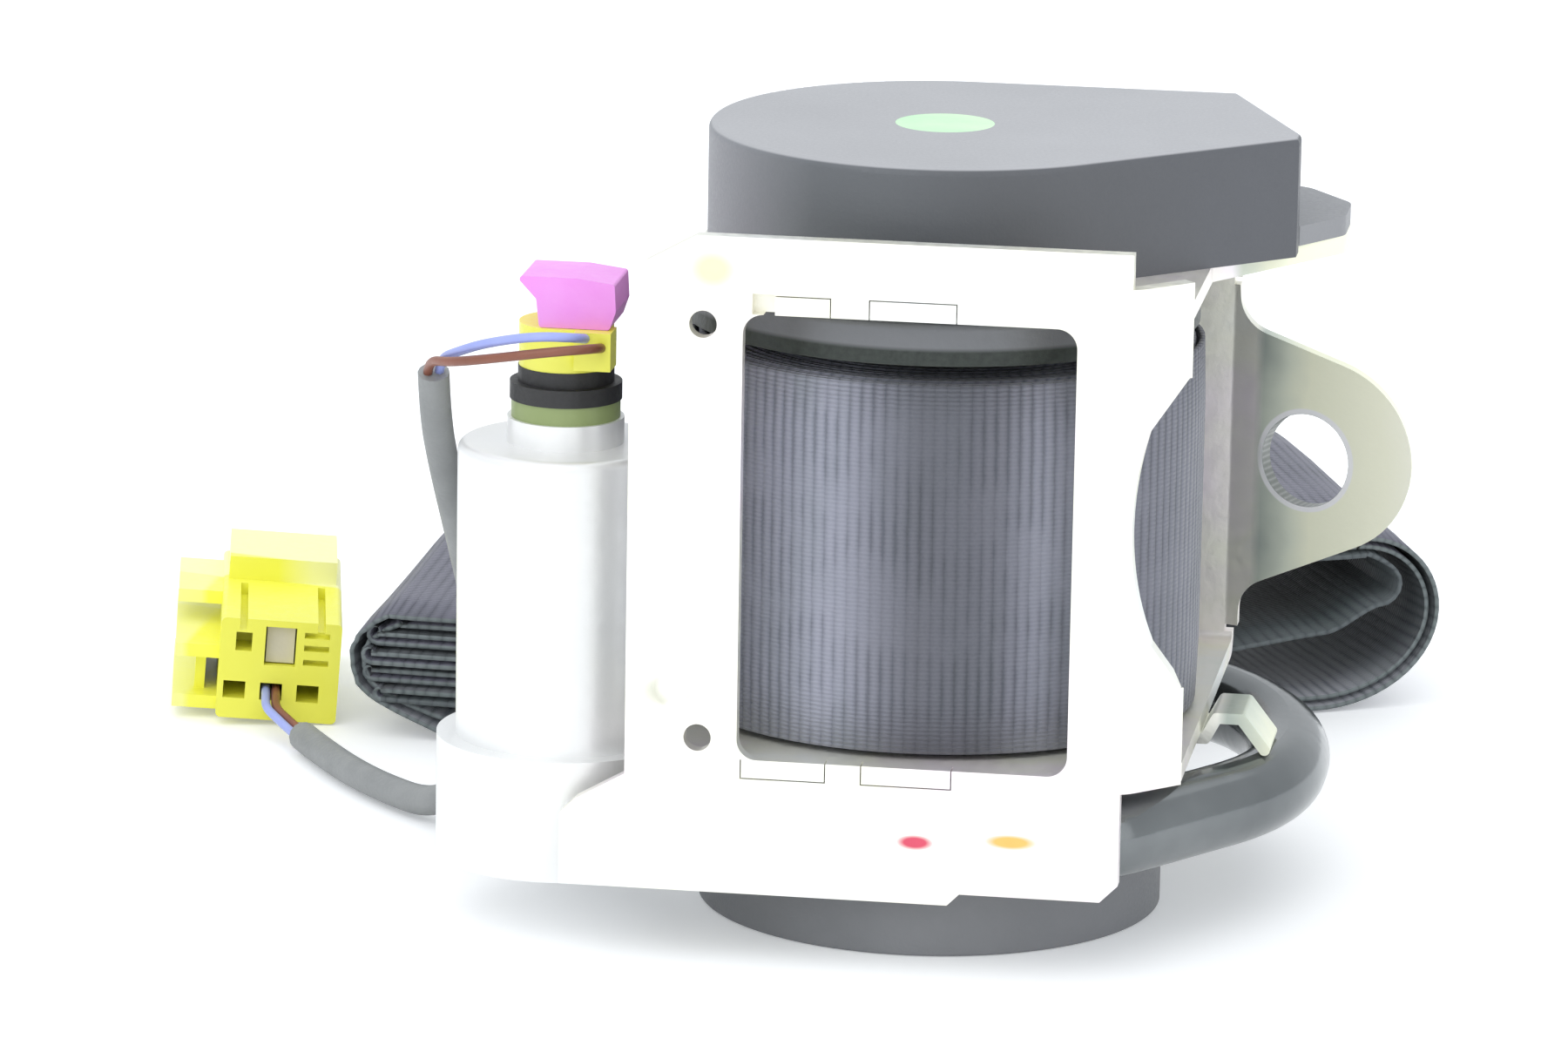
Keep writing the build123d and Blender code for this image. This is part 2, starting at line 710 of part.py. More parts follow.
# Lock pawl: swings out from the head into the teeth of the side plate
pawl_tip = (pawl_tip_x, -(pawl_tip_r ** 2 - pawl_tip_x ** 2) ** 0.5)
cam_r = 1.2
cam_x = -2.0
cam_y = -15.6
with BuildPart() as lock_pawl:
    with BuildSketch(Plane.XY.offset(pawl_low)) as pawl_plan:
        with Locations((pawl_x, pawl_y)):
            Circle(3.4)
        tip_u = unit(swung_tip[0], swung_tip[1])
        rest_u = turned(tip_u[0], tip_u[1], 0, 0, pawl_swing)
        side_u = (-rest_u[1], rest_u[0])
        with BuildLine():
            Polyline(
                (pawl_x - 1.6, pawl_y - 2.9),
                (
                    pawl_tip[0] - 2.4 * rest_u[0] - 2.9 * side_u[0],
                    pawl_tip[1] - 2.4 * rest_u[1] - 2.9 * side_u[1],
                ),
                (pawl_tip[0] - 0.7 * side_u[0], pawl_tip[1] - 0.7 * side_u[1]),
                (pawl_tip[0] + 0.7 * side_u[0], pawl_tip[1] + 0.7 * side_u[1]),
                (
                    pawl_tip[0] - 5.6 * rest_u[0] + 1.7 * side_u[0],
                    pawl_tip[1] - 5.6 * rest_u[1] + 1.7 * side_u[1],
                ),
                (pawl_x + 1.9, pawl_y + 2.8),
                close=True,
            )
        make_face()
        with Locations((pawl_x, pawl_y)):
            Circle(pivot_r + running, mode=Mode.SUBTRACT)
    extrude(amount=pawl_t)
    with Locations((cam_x, cam_y, pawl_high)):
        Cylinder(cam_r, wheel_low + wheel_web - pawl_high, align=(Align.CENTER, Align.CENTER, Align.MIN))
lock_pawl.part.label = "lock_pawl"
export_step(lock_pawl.part, "parts/lock_pawl.step")

# Lock wheel: turns with the spool until the sensor lever holds its teeth, then cams the pawl out
lever_len = lever_pivot_y + 4.0
nose_rest = (lever_pivot_x - 3.2, lever_pivot_y - lever_len)
lever_swing = degrees(lever_throw / (lever_pivot_y - sensor_y))
nose_in = turned(nose_rest[0], nose_rest[1], lever_pivot_x, lever_pivot_y, -lever_swing)
wheel_phase = degrees(atan2(nose_in[1], nose_in[0]))
cam_swung = turned(cam_x, cam_y, pawl_x, pawl_y, -pawl_swing)
cam_in_wheel = turned(cam_swung[0], cam_swung[1], 0, 0, wheel_turn)
with BuildPart() as lock_wheel:
    with BuildSketch(Plane.XY.offset(wheel_low)):
        Circle(wheel_root_r)
        with PolarLocations(0, tooth_count, start_angle=wheel_phase + 180 / tooth_count):
            Polygon(
                (wheel_root_r - 0.6, -2.0),
                (wheel_tip_r, -0.5),
                (wheel_tip_r, 0.5),
                (wheel_root_r - 0.6, 2.0),
                align=None,
            )
    extrude(amount=wheel_high - wheel_low)
    with Locations((0, 0, wheel_low + wheel_web)):
        Cylinder(
            wheel_root_r - wheel_rim,
            wheel_high - wheel_low - wheel_web,
            align=(Align.CENTER, Align.CENTER, Align.MIN),
            mode=Mode.SUBTRACT,
        )
        Cylinder(
            shaft_r + 2.2, wheel_high - wheel_low - wheel_web,
            align=(Align.CENTER, Align.CENTER, Align.MIN),
        )
    with Locations((0, 0, wheel_low)):
        Cylinder(
            shaft_r + running,
            wheel_high - wheel_low,
            align=(Align.CENTER, Align.CENTER, Align.MIN),
            mode=Mode.SUBTRACT,
        )
    # Cam slot of the pawl
    slot_mid = ((cam_x + cam_in_wheel[0]) / 2, (cam_y + cam_in_wheel[1]) / 2)
    slot_len = hypot(cam_in_wheel[0] - cam_x, cam_in_wheel[1] - cam_y)
    slot_angle = degrees(atan2(cam_in_wheel[1] - cam_y, cam_in_wheel[0] - cam_x))
    with BuildSketch(Plane.XY.offset(wheel_low)):
        with Locations(Location((slot_mid[0], slot_mid[1]), slot_angle)):
            SlotCenterToCenter(slot_len, 2 * cam_r + 1.4)
    extrude(amount=wheel_web, mode=Mode.SUBTRACT)
    # Pin of the inertia mass
    with Locations((0, mass_pin_y, wheel_low + wheel_web)):
        Cylinder(pivot_r, 3.0, align=(Align.CENTER, Align.CENTER, Align.MIN))
lock_wheel.part.label = "lock_wheel"
export_step(lock_wheel.part, "parts/lock_wheel.step")

# Inertia mass: lags behind on a sharp pull of the webbing
mass_low = wheel_low + wheel_web + 0.1
with BuildPart() as inertia_mass:
    with BuildSketch(Plane.XY.offset(mass_low)) as mass_plan:
        with BuildLine():
            CenterArc((0, 0), mass_r, 35, 130)
            CenterArc((0, 0), mass_in_r, 35, 130)
            Line(
                (mass_r * cos(radians(35)), mass_r * sin(radians(35))),
                (mass_in_r * cos(radians(35)), mass_in_r * sin(radians(35))),
            )
            Line(
                (mass_r * cos(radians(165)), mass_r * sin(radians(165))),
                (mass_in_r * cos(radians(165)), mass_in_r * sin(radians(165))),
            )
        make_face()
        fillet(mass_plan.vertices(), 1.5)
        with Locations((0, mass_pin_y)):
            Circle(pivot_r + running, mode=Mode.SUBTRACT)
    extrude(amount=mass_t)
inertia_mass.part.label = "inertia_mass"
export_step(inertia_mass.part, "parts/inertia_mass.step")


# Vehicle sensor: housing with the ball dish and the pin of the lever
sensor_low = frame_top + 0.1
dish_x = ball_x + ball_r + ball_gap
sensor_back = ball_x + 5.0
sensor_half = 5.0
with BuildPart() as sensor_housing:
    with BuildSketch(Plane.XY.offset(sensor_low)):
        with BuildLine():
            Polyline(
                (lever_pivot_x - 1.7, lever_pivot_y + 3.4),
                (lever_pivot_x + 2.3, lever_pivot_y + 3.4),
                (lever_pivot_x + 2.3, sensor_y + sensor_half),
                (sensor_back, sensor_y + sensor_half),
                (sensor_back, sensor_y - sensor_half),
                (lever_pivot_x + 1.5, sensor_y - sensor_half),
                (lever_pivot_x - 1.5, sensor_y + 1.5),
                close=True,
            )
        make_face()
    extrude(amount=lever_low - 0.3 - sensor_low)
    with Locations((lever_pivot_x, lever_pivot_y, lever_low - 0.3)):
        Cylinder(1.2, lever_high + 0.5 - lever_low, align=(Align.CENTER, Align.CENTER, Align.MIN))
    with Locations(((dish_x - 2.2 + sensor_back) / 2, sensor_y, lever_low - 0.3)):
        Box(
            sensor_back - dish_x + 2.2,
            2 * sensor_half,
            sensor_z + ball_r + 1.0 - lever_low + 0.3,
            align=(Align.CENTER, Align.CENTER, Align.MIN),
        )
    # Dish: a cone whose wall the ball climbs at 30 degrees to the rest plane
    with BuildSketch(Plane.XY.offset(sensor_z)) as dish:
        with BuildLine():
            Polyline(
                (dish_x + 0.2, sensor_y),
                (dish_x + 0.2, sensor_y + 0.5),
                (dish_x - 2.4, sensor_y + 0.5 + 2.6 * tan(radians(dish_slope))),
                (dish_x - 2.4, sensor_y),
                close=True,
            )
        make_face()
    revolve(axis=Axis((0, sensor_y, sensor_z), (1, 0, 0)), mode=Mode.SUBTRACT)
sensor_housing.part.label = "sensor_housing"
export_step(sensor_housing.part, "parts/sensor_housing.step")

# Sensor ball
with BuildPart() as sensor_ball:
    with Locations((ball_x, sensor_y, sensor_z)):
        Sphere(ball_r)
sensor_ball.part.label = "sensor_ball"
export_step(sensor_ball.part, "parts/sensor_ball.step")

# Sensor lever: the ball pushes it into the teeth of the lock wheel
lever_back = ball_x - ball_r - ball_gap
with BuildPart() as sensor_lever:
    with BuildSketch(Plane.XY.offset(lever_low)) as lever_plan:
        with BuildLine():
            Polyline(
                (lever_back - lever_t, lever_pivot_y),
                (lever_back, lever_pivot_y),
                (lever_back, nose_rest[1] + 0.6),
                (nose_rest[0] + 1.2, nose_rest[1] - 1.0),
                nose_rest,
                (lever_back - lever_t, nose_rest[1] + 2.2),
                close=True,
            )
        make_face()
        with Locations((lever_pivot_x, lever_pivot_y)):
            Circle(2.2)
            Circle(1.2 + running, mode=Mode.SUBTRACT)
    extrude(amount=lever_high - lever_low)
sensor_lever.part.label = "sensor_lever"
export_step(sensor_lever.part, "parts/sensor_lever.step")


# Lower bush in the lower side plate
with BuildPart() as lower_bush:
    with Locations((0, 0, plate_low)):
        Cylinder(pinion_r + 3, sheet, align=(Align.CENTER, Align.CENTER, Align.MIN))
        Cylinder(drum_r + running, sheet, align=(Align.CENTER, Align.CENTER, Align.MIN), mode=Mode.SUBTRACT)
lower_bush.part.label = "lower_bush"
export_step(lower_bush.part, "parts/lower_bush.step")

# Drive pinion: ball pockets round the rim and a hexagon bore for the torsion bar
with BuildPart() as drive_pinion:
    with BuildSketch(Plane.XY.offset(pinion_low)):
        Circle(pinion_r)
        with PolarLocations(pocket_pitch_r, pocket_count):
            Circle(pocket_r, mode=Mode.SUBTRACT)
        RegularPolygon(hex_r, 6, mode=Mode.SUBTRACT)
    extrude(amount=pinion_high - 1.6 - pinion_low)
    with BuildSketch(Plane.XY.offset(pinion_high - 1.6)):
        Circle(pinion_r)
        RegularPolygon(hex_r, 6, mode=Mode.SUBTRACT)
    extrude(amount=1.6)
drive_pinion.part.label = "drive_pinion"
export_step(drive_pinion.part, "parts/drive_pinion.step")

# Route of the drive tube in plan, from the pinion housing round the back to the gas chamber
port = (14.0, -29.3)
tube_route = [
    (port[0], port[1], tube_z),
    (23.7, port[1], tube_z),
    (44.2, -0.2, tube_z),
    (44.2, 23.0, tube_z),
    (33.0, 43.0, tube_z),
    (10.0, 50.5, tube_z),
    (-24.0, 48.0, tube_z),
    (chamber_x - 1.1, 27.0, tube_z),
    (chamber_x - 1.1, chamber_y + chamber_foot_r - 3.0, tube_z),
]
tube_radii = route_radii(tube_route, 0.45)
tube_radii[0] = 12.0

with BuildLine() as tube_path:
    FilletPolyline(*tube_route, radius=tube_radii)

# Pinion housing: die-cast ring with the port of the drive tube
with BuildPart() as pinion_housing:
    with Locations((0, 0, housing_low)):
        Cylinder(housing_r, plate_low - housing_low, align=(Align.CENTER, Align.CENTER, Align.MIN))
    with Locations(((port[0] + 3 - 10) / 2, (port[1] - 5.3 - 18) / 2, housing_low)):
        Box(
            port[0] + 3 + 10,
            -18 - port[1] + 5.3,
            plate_low - 2.0 - housing_low,
            align=(Align.CENTER, Align.CENTER, Align.MIN),
        )
    fillet(pinion_housing.edges().filter_by(Axis.Z).sort_by(Axis.Y)[:2], 2.0)
    with Locations((0, 0, housing_low)):
        Cylinder(
            pinion_r + pinion_gap,
            plate_low - housing_low,
            align=(Align.CENTER, Align.CENTER, Align.MIN),
            mode=Mode.SUBTRACT,
        )
    with BuildSketch(Plane(origin=(port[0] + 3, port[1], tube_z), z_dir=(-1, 0, 0))):
        Circle(tube_r + running)
    extrude(amount=3, mode=Mode.SUBTRACT)
    for start, end in (((port[0], port[1]), (4.0, -26.5)), ((5.0, -27.2), (-4.0, -16.0))):
        way = unit(end[0] - start[0], end[1] - start[1])
        with BuildSketch(Plane(origin=(start[0], start[1], tube_z), z_dir=(way[0], way[1], 0))):
            Circle(steel_ball_r + 0.3)
        extrude(amount=hypot(end[0] - start[0], end[1] - start[1]), mode=Mode.SUBTRACT)
    for x, y in housing_screws:
        with Locations((x, y, plate_low)):
            Cylinder(screw_r, 9.0, align=(Align.CENTER, Align.CENTER, Align.MAX), mode=Mode.SUBTRACT)
pinion_housing.part.label = "pinion_housing"
export_step(pinion_housing.part, "parts/pinion_housing.step")

# Screws that hold the housing to the lower side plate
with BuildPart() as housing_screw_set:
    for x, y in housing_screws:
        with Locations((x, y, plate_low + sheet)):
            Cylinder(screw_r, sheet + 8.6, align=(Align.CENTER, Align.CENTER, Align.MAX))
housing_screw_set.part.label = "housing_screws"
export_step(housing_screw_set.part, "parts/housing_screws.step")

# Drive tube
with BuildPart() as drive_tube:
    with BuildSketch(Plane(origin=tube_path.wires()[0] @ 0, z_dir=tube_path.wires()[0] % 0)):
        Circle(tube_r)
        Circle(tube_r - tube_wall, mode=Mode.SUBTRACT)
    sweep(path=tube_path.wires()[0])
drive_tube.part.label = "drive_tube"
export_step(drive_tube.part, "parts/drive_tube.step")

# Steel balls waiting in the tube
tube_length = tube_path.wires()[0].length
with BuildPart() as drive_balls:
    for i in range(steel_ball_count):
        spot = tube_path.wires()[0].position_at((6.0 + i * ball_pitch) / tube_length)
        with Locations(spot):
            Sphere(steel_ball_r)
drive_balls.part.label = "drive_balls"
export_step(drive_balls.part, "parts/drive_balls.step")

# Sealing piston behind the balls
piston_run = 6.0 + steel_ball_count * ball_pitch + 3.0
piston_at = tube_path.wires()[0] ^ (piston_run / tube_length)
piston_way = tube_path.wires()[0] % (piston_run / tube_length)
with BuildPart() as seal_piston:
    with BuildSketch(Plane(origin=piston_at.position, z_dir=piston_way)):
        Circle(tube_r - tube_wall - 0.1)
    extrude(amount=3.0, both=True)
seal_piston.part.label = "seal_piston"
export_step(seal_piston.part, "parts/seal_piston.step")

# Bracket strap from under the side plate, arched up and down onto the tube
bracket_t = 1.4
with BuildPart() as tube_bracket:
    with BuildSketch(Plane.XZ.offset(4)):
        with BuildLine():
            Polyline(
                (27.2, plate_low - bracket_t / 2),
                (35.1, plate_low - bracket_t / 2),
                (36.5, plate_low + 2.0),
                (39.6, plate_low + 2.0),
                (42.6, tube_z + tube_r + bracket_t / 2 + 0.02),
            )
            offset(amount=bracket_t / 2)
        make_face()
    extrude(amount=-10)
tube_bracket.part.label = "tube_bracket"
export_step(tube_bracket.part, "parts/tube_bracket.step")


# Gas chamber: foot round the tube mouth and a crimped cylinder above
with BuildPart() as gas_chamber:
    with Locations((chamber_x, chamber_y, chamber_low)):
        Cylinder(
            chamber_foot_r, chamber_shoulder - chamber_low,
            align=(Align.CENTER, Align.CENTER, Align.MIN),
        )
    with Locations((chamber_x, chamber_y, chamber_shoulder)):
        Cylinder(chamber_r, chamber_high - chamber_shoulder, align=(Align.CENTER, Align.CENTER, Align.MIN))
    fillet(gas_chamber.edges().group_by(Axis.Z)[-1], 1.2)
    with Locations((chamber_x, chamber_y, chamber_high)):
        Cylinder(
            chamber_neck_r, chamber_neck_high - chamber_high,
            align=(Align.CENTER, Align.CENTER, Align.MIN),
        )
    with Locations((chamber_x, chamber_y, tube_z)):
        Cylinder(
            squib_r + running,
            chamber_high - tube_z,
            align=(Align.CENTER, Align.CENTER, Align.MIN),
            mode=Mode.SUBTRACT,
        )
    with Locations((chamber_x, chamber_y, chamber_high)):
        Cylinder(
            squib_neck_r + running,
            chamber_neck_high - chamber_high,
            align=(Align.CENTER, Align.CENTER, Align.MIN),
            mode=Mode.SUBTRACT,
        )
    mouth_y = chamber_y + chamber_foot_r - 3.0
    with BuildSketch(Plane(origin=(chamber_x - 1.1, chamber_y + chamber_foot_r, tube_z), z_dir=(0, -1, 0))):
        Circle(tube_r + running)
    extrude(amount=3.0, mode=Mode.SUBTRACT)
    with BuildSketch(Plane(origin=(chamber_x - 1.1, mouth_y, tube_z), z_dir=(0, -1, 0))):
        Circle(tube_r - tube_wall)
    extrude(amount=mouth_y - chamber_y, mode=Mode.SUBTRACT)
    # Foot pad against the ear of the tie plate
    with Locations((-38.5, (tie_in + chamber_y - 12.0) / 2, 14.5)):
        Box(5.0, chamber_y - 12.0 - tie_in, 8.0)
gas_chamber.part.label = "gas_chamber"
export_step(gas_chamber.part, "parts/gas_chamber.step")

# Gas generator cartridge
with BuildPart() as gas_generator:
    with Locations((chamber_x, chamber_y, chamber_high - cartridge_len)):
        Cylinder(squib_r, cartridge_len, align=(Align.CENTER, Align.CENTER, Align.MIN))
    with Locations((chamber_x, chamber_y, chamber_high)):
        Cylinder(squib_neck_r, igniter_high - chamber_high, align=(Align.CENTER, Align.CENTER, Align.MIN))
gas_generator.part.label = "gas_generator"
export_step(gas_generator.part, "parts/gas_generator.step")

# Green retaining ring round the neck
with BuildPart() as squib_ring:
    with Locations((chamber_x, chamber_y, chamber_neck_high)):
        Cylinder(ring_r, ring_high - chamber_neck_high, align=(Align.CENTER, Align.CENTER, Align.MIN))
        Cylinder(
            squib_neck_r + running,
            ring_high - chamber_neck_high,
            align=(Align.CENTER, Align.CENTER, Align.MIN),
            mode=Mode.SUBTRACT,
        )
squib_ring.part.label = "squib_ring"
export_step(squib_ring.part, "parts/squib_ring.step")

# Black collar that the plug snaps into
with BuildPart() as squib_collar:
    with Locations((chamber_x, chamber_y, ring_high)):
        Cylinder(collar_neck_r, collar_high - ring_high, align=(Align.CENTER, Align.CENTER, Align.MIN))
        Cylinder(collar_r, 2.2, align=(Align.CENTER, Align.CENTER, Align.MIN))
        Cylinder(
            squib_neck_r + running,
            collar_high - ring_high,
            align=(Align.CENTER, Align.CENTER, Align.MIN),
            mode=Mode.SUBTRACT,
        )
squib_collar.part.label = "squib_collar"
export_step(squib_collar.part, "parts/squib_collar.step")

# Yellow squib plug with its wire outlet
outlet_x = chamber_x + 4.4
outlet_y = chamber_y - plug_r
latch_guide_w = 3.0
with BuildPart() as squib_plug:
    with Locations((chamber_x, chamber_y, collar_high)):
        Cylinder(plug_r, plug_high - collar_high, align=(Align.CENTER, Align.CENTER, Align.MIN))
    with Locations((chamber_x, chamber_y, igniter_high)):
        Cylinder(
            squib_neck_r - 0.1, collar_high - igniter_high,
            align=(Align.CENTER, Align.CENTER, Align.MIN),
        )
    with Locations((outlet_x, outlet_y + 1.2, plug_high - 2.4)):
        Box(4.6, 4.4, 4.8)
    with Locations((chamber_x, chamber_y, plug_high)):
        Box(
            latch_guide_w, 5.0, 4.0, align=(Align.CENTER, Align.CENTER, Align.MAX), mode=Mode.SUBTRACT
        )
squib_plug.part.label = "squib_plug"
export_step(squib_plug.part, "parts/squib_plug.step")

# Magenta plug lock: pulled up to free the plug
with BuildPart() as squib_lock:
    with BuildSketch(Plane.XZ.offset(-chamber_y + 5.0)) as lock_face:
        with BuildLine():
            Polyline(
                (chamber_x - 2.6, plug_high + 0.05),
                (chamber_x + 6.2, plug_high + 0.05),
                (chamber_x + 7.0, plug_high + 2.4),
                (chamber_x + 6.8, latch_high - 0.6),
                (chamber_x + 2.0, latch_high),
                (chamber_x - 5.6, latch_high),
                (chamber_x - 3.0, plug_high + 3.6),
                close=True,
            )
        make_face()
    extrude(amount=-10.0)
    fillet(squib_lock.edges().filter_by(Axis.Y), 0.4)
    with Locations((chamber_x, chamber_y, plug_high + 0.1)):
        Box(latch_guide_w - 0.2, 4.8, 3.8, align=(Align.CENTER, Align.CENTER, Align.MAX))
squib_lock.part.label = "squib_lock"
export_step(squib_lock.part, "parts/squib_lock.step")


# Spring cassette: cover, lid, spiral spring and arbor
with BuildPart() as spring_cover:
    Cylinder(cassette_r, cassette_high, align=(Align.CENTER, Align.CENTER, Align.MIN))
    fillet(spring_cover.edges().group_by(Axis.Z)[0], 0.3)
    with Locations((0, 0, cassette_floor)):
        Cylinder(
            cassette_r - cassette_wall,
            cassette_high - cassette_floor,
            align=(Align.CENTER, Align.CENTER, Align.MIN),
            mode=Mode.SUBTRACT,
        )
spring_cover.part.label = "spring_cover"
export_step(spring_cover.part, "parts/spring_cover.step")

with BuildPart() as spring_lid:
    with Locations((0, 0, cassette_high)):
        Cylinder(cassette_r, lid_t, align=(Align.CENTER, Align.CENTER, Align.MIN))
        Cylinder(stub_r + 0.6, lid_t, align=(Align.CENTER, Align.CENTER, Align.MIN), mode=Mode.SUBTRACT)
spring_lid.part.label = "spring_lid"
export_step(spring_lid.part, "parts/spring_lid.step")

with BuildPart() as spring_arbor:
    with Locations((0, 0, spring_low)):
        Cylinder(arbor_r, cassette_high - 0.3 - spring_low, align=(Align.CENTER, Align.CENTER, Align.MIN))
        Cylinder(
            stub_r + running,
            cassette_high - 0.3 - spring_low,
            align=(Align.CENTER, Align.CENTER, Align.MIN),
            mode=Mode.SUBTRACT,
        )
spring_arbor.part.label = "spring_arbor"
export_step(spring_arbor.part, "parts/spring_arbor.step")

# Return spring: half turns of a flat strip, widening from the arbor to the wall
spring_first = arbor_r + 0.25 + spring_t / 2
spring_last = cassette_r - cassette_wall - spring_t / 2 - 0.1
half_turns = 2 * spring_turns
spring_step = (spring_last - spring_first) / half_turns
with BuildPart() as return_spring:
    with BuildSketch(Plane.XY.offset(spring_low)) as strip:
        with BuildLine() as spiral:
            side = 1
            at = spring_first
            for i in range(half_turns):
                after = at + spring_step
                middle_x = side * (at - after) / 2
                CenterArc((middle_x, 0), (at + after) / 2, 0 if side > 0 else 180, 180)
                side = -side
                at = after
            offset(amount=spring_t / 2)
        make_face()
    extrude(amount=spring_high - spring_low)
return_spring.part.label = "return_spring"
export_step(return_spring.part, "parts/return_spring.step")


# Harness wires from the plug into the sleeve
sleeve_route = [
    (-61.3, -17.2, 68.4),
    (-62.8, -14.6, 62.0),
    (-62.6, -9.0, 54.5),
    (-61.4, -1.5, 46.0),
    (-59.2, 6.0, 35.5),
    (-57.8, 12.6, 24.5),
    (-58.2, 18.4, 14.2),
    (-61.8, 22.4, 6.4),
    (-68.0, 24.4, 2.4),
    (-76.5, 28.6, 2.3),
    (-84.5, 37.2, 2.3),
    (-91.5, 48.5, 2.3),
]
sleeve_way = Vector(*sleeve_route[1]) - Vector(*sleeve_route[0])
sleeve_way = sleeve_way.normalized()
mouth = Vector(*sleeve_route[0])
mouth_side = Vector(-sleeve_way.Y, sleeve_way.X, 0).normalized() * wire_gap
mouth_up = mouth - sleeve_way * 3.6
outlet_face = outlet_y - 1.0
blue_route = [
    (outlet_x - 0.9, outlet_face, 74.8),
    (outlet_x - 0.9, outlet_face - 3.2, 74.9),
    (outlet_x - 6.4, outlet_face - 4.9, 75.3),
    (outlet_x - 12.8, outlet_face - 2.2, 74.4),
    (outlet_x - 18.2, outlet_face + 1.6, 72.9),
    tuple(mouth_up - mouth_side),
    tuple(mouth - mouth_side),
]
brown_route = [
    (outlet_x + 1.1, outlet_face, 73.0),
    (outlet_x + 1.1, outlet_face - 2.8, 73.0),
    (outlet_x - 4.6, outlet_face - 5.2, 73.1),
    (outlet_x - 12.0, outlet_face - 4.4, 72.6),
    (outlet_x - 18.6, outlet_face - 1.0, 71.9),
    tuple(mouth_up + mouth_side),
    tuple(mouth + mouth_side),
]


def cord_tube(points, r, share=0.45):
    """A plain tube along straight runs and tangent arcs."""
    radii = route_radii(points, share)
    with BuildLine() as line:
        FilletPolyline(*points, radius=radii)
    wire = line.wires()[0]
    with BuildPart() as tube:
        with BuildSketch(Plane(origin=wire @ 0, z_dir=wire % 0)):
            Circle(r)
        sweep(path=wire)
    return tube.part


harness_sleeve = cord_tube(sleeve_route, sleeve_r)
harness_sleeve.label = "harness_sleeve"
export_step(harness_sleeve, "parts/harness_sleeve.step")

wire_blue = cord_tube(blue_route, wire_r)
wire_blue.label = "wire_blue"
export_step(wire_blue, "parts/wire_blue.step")

wire_brown = cord_tube(brown_route, wire_r)
wire_brown.label = "wire_brown"
export_step(wire_brown, "parts/wire_brown.step")

# Harness connector: body with wire chambers in its near face, a raised hood and ribs on its left side
yaw_cos = cos(radians(connector_yaw))
yaw_sin = sin(radians(connector_yaw))
roll_cos = cos(radians(connector_roll))
roll_sin = sin(radians(connector_roll))
connector_right = Vector(yaw_cos * roll_cos, yaw_sin * roll_cos, -roll_sin)
connector_up = Vector(yaw_cos * roll_sin, yaw_sin * roll_sin, roll_cos)
connector_back = Vector(-yaw_sin, yaw_cos, 0)
connector_foot = Vector(connector_corner[0], connector_corner[1], 0.02) - connector_right * (connector_w / 2)
connector_plane = Plane(origin=connector_foot, x_dir=connector_right, z_dir=connector_up)
with BuildPart(connector_plane) as harness_connector:
    Box(connector_w, connector_d, connector_face_h, align=(Align.CENTER, Align.MIN, Align.MIN))
    fillet(harness_connector.edges().filter_by(Axis(connector_foot, connector_back)), 0.7)
    with Locations((0, hood_back, connector_face_h - 3)):
        Box(
            connector_w - 1.6,
            connector_d - hood_back,
            connector_h - connector_face_h + 3,
            align=(Align.CENTER, Align.MIN, Align.MIN),
        )
    # Ribs of the fastening on the left side
    for low, start in ((-0.55, 4), (6.6, 4), (11.2, 16)):
        with Locations((-connector_w / 2 + 1.0, start, low + connector_w * roll_sin * 0.5)):
            Box(7.0, connector_d - start - 4, 1.8, align=(Align.MAX, Align.MIN, Align.MIN))
    with Locations((-connector_w / 2 - 2.4, 8, 0.4)):
        Box(1.4, connector_d - 14, 8.0, align=(Align.CENTER, Align.MIN, Align.MIN))
    # Wire chambers, lock chamber and the grooves beside it
    with Locations(*[(x, 0, wire_hole_z) for x in wire_holes]):
        Box(3.0, 10.0, 2.4, align=(Align.CENTER, Align.MIN, Align.CENTER), mode=Mode.SUBTRACT)
    with Locations((0, 0, lock_z)):
        Box(
            lock_w + 0.4, 12.0, lock_h + 0.4,
            align=(Align.CENTER, Align.MIN, Align.CENTER), mode=Mode.SUBTRACT,
        )
    with Locations((-5.0, 0, lock_z + 0.4)):
        Box(2.2, 6.0, 2.6, align=(Align.CENTER, Align.MIN, Align.CENTER), mode=Mode.SUBTRACT)
    with Locations((4.9, 0, 8.4), (4.9, 0, 10.4), (4.9, 0, 12.2)):
        Box(3.4, 1.6, 0.8, align=(Align.CENTER, Align.MIN, Align.CENTER), mode=Mode.SUBTRACT)
    # Two slots along the top
    with Locations((-5.2, 0, connector_face_h), (5.4, 0, connector_face_h)):
        Box(1.0, hood_back - 2, 1.6, align=(Align.CENTER, Align.MIN, Align.MAX), mode=Mode.SUBTRACT)
harness_connector.part.label = "harness_connector"
export_step(harness_connector.part, "parts/harness_connector.step")

# Position lock of the connector: slides in the middle chamber
with BuildPart(connector_plane) as connector_lock:
    with Locations((0, 1.2, lock_z)):
        Box(lock_w, 8.0, lock_h, align=(Align.CENTER, Align.MIN, Align.CENTER))
connector_lock.part.label = "connector_lock"
export_step(connector_lock.part, "parts/connector_lock.step")

# Wire tails between the sleeve and the connector
sleeve_out = Vector(*sleeve_route[-1]) - Vector(*sleeve_route[-2])
sleeve_out = sleeve_out.normalized()
tail_end = Vector(*sleeve_route[-1])
tail_side = Vector(-sleeve_out.Y, sleeve_out.X, 0).normalized() * tail_gap


def tail_route(side):
    """Route of one wire from the sleeve into the middle wire hole."""
    hole = connector_foot + connector_right * (wire_holes[1] - tail_gap * side) + connector_up * wire_hole_z
    return [
        tuple(tail_end + tail_side * side),
        tuple(tail_end + tail_side * side + sleeve_out * 3.4),
        tuple(hole - connector_back * 5.4 + Vector(0, 0, -0.8)),
        tuple(hole - connector_back * 1.6),
        tuple(hole + connector_back * 9.9),
    ]


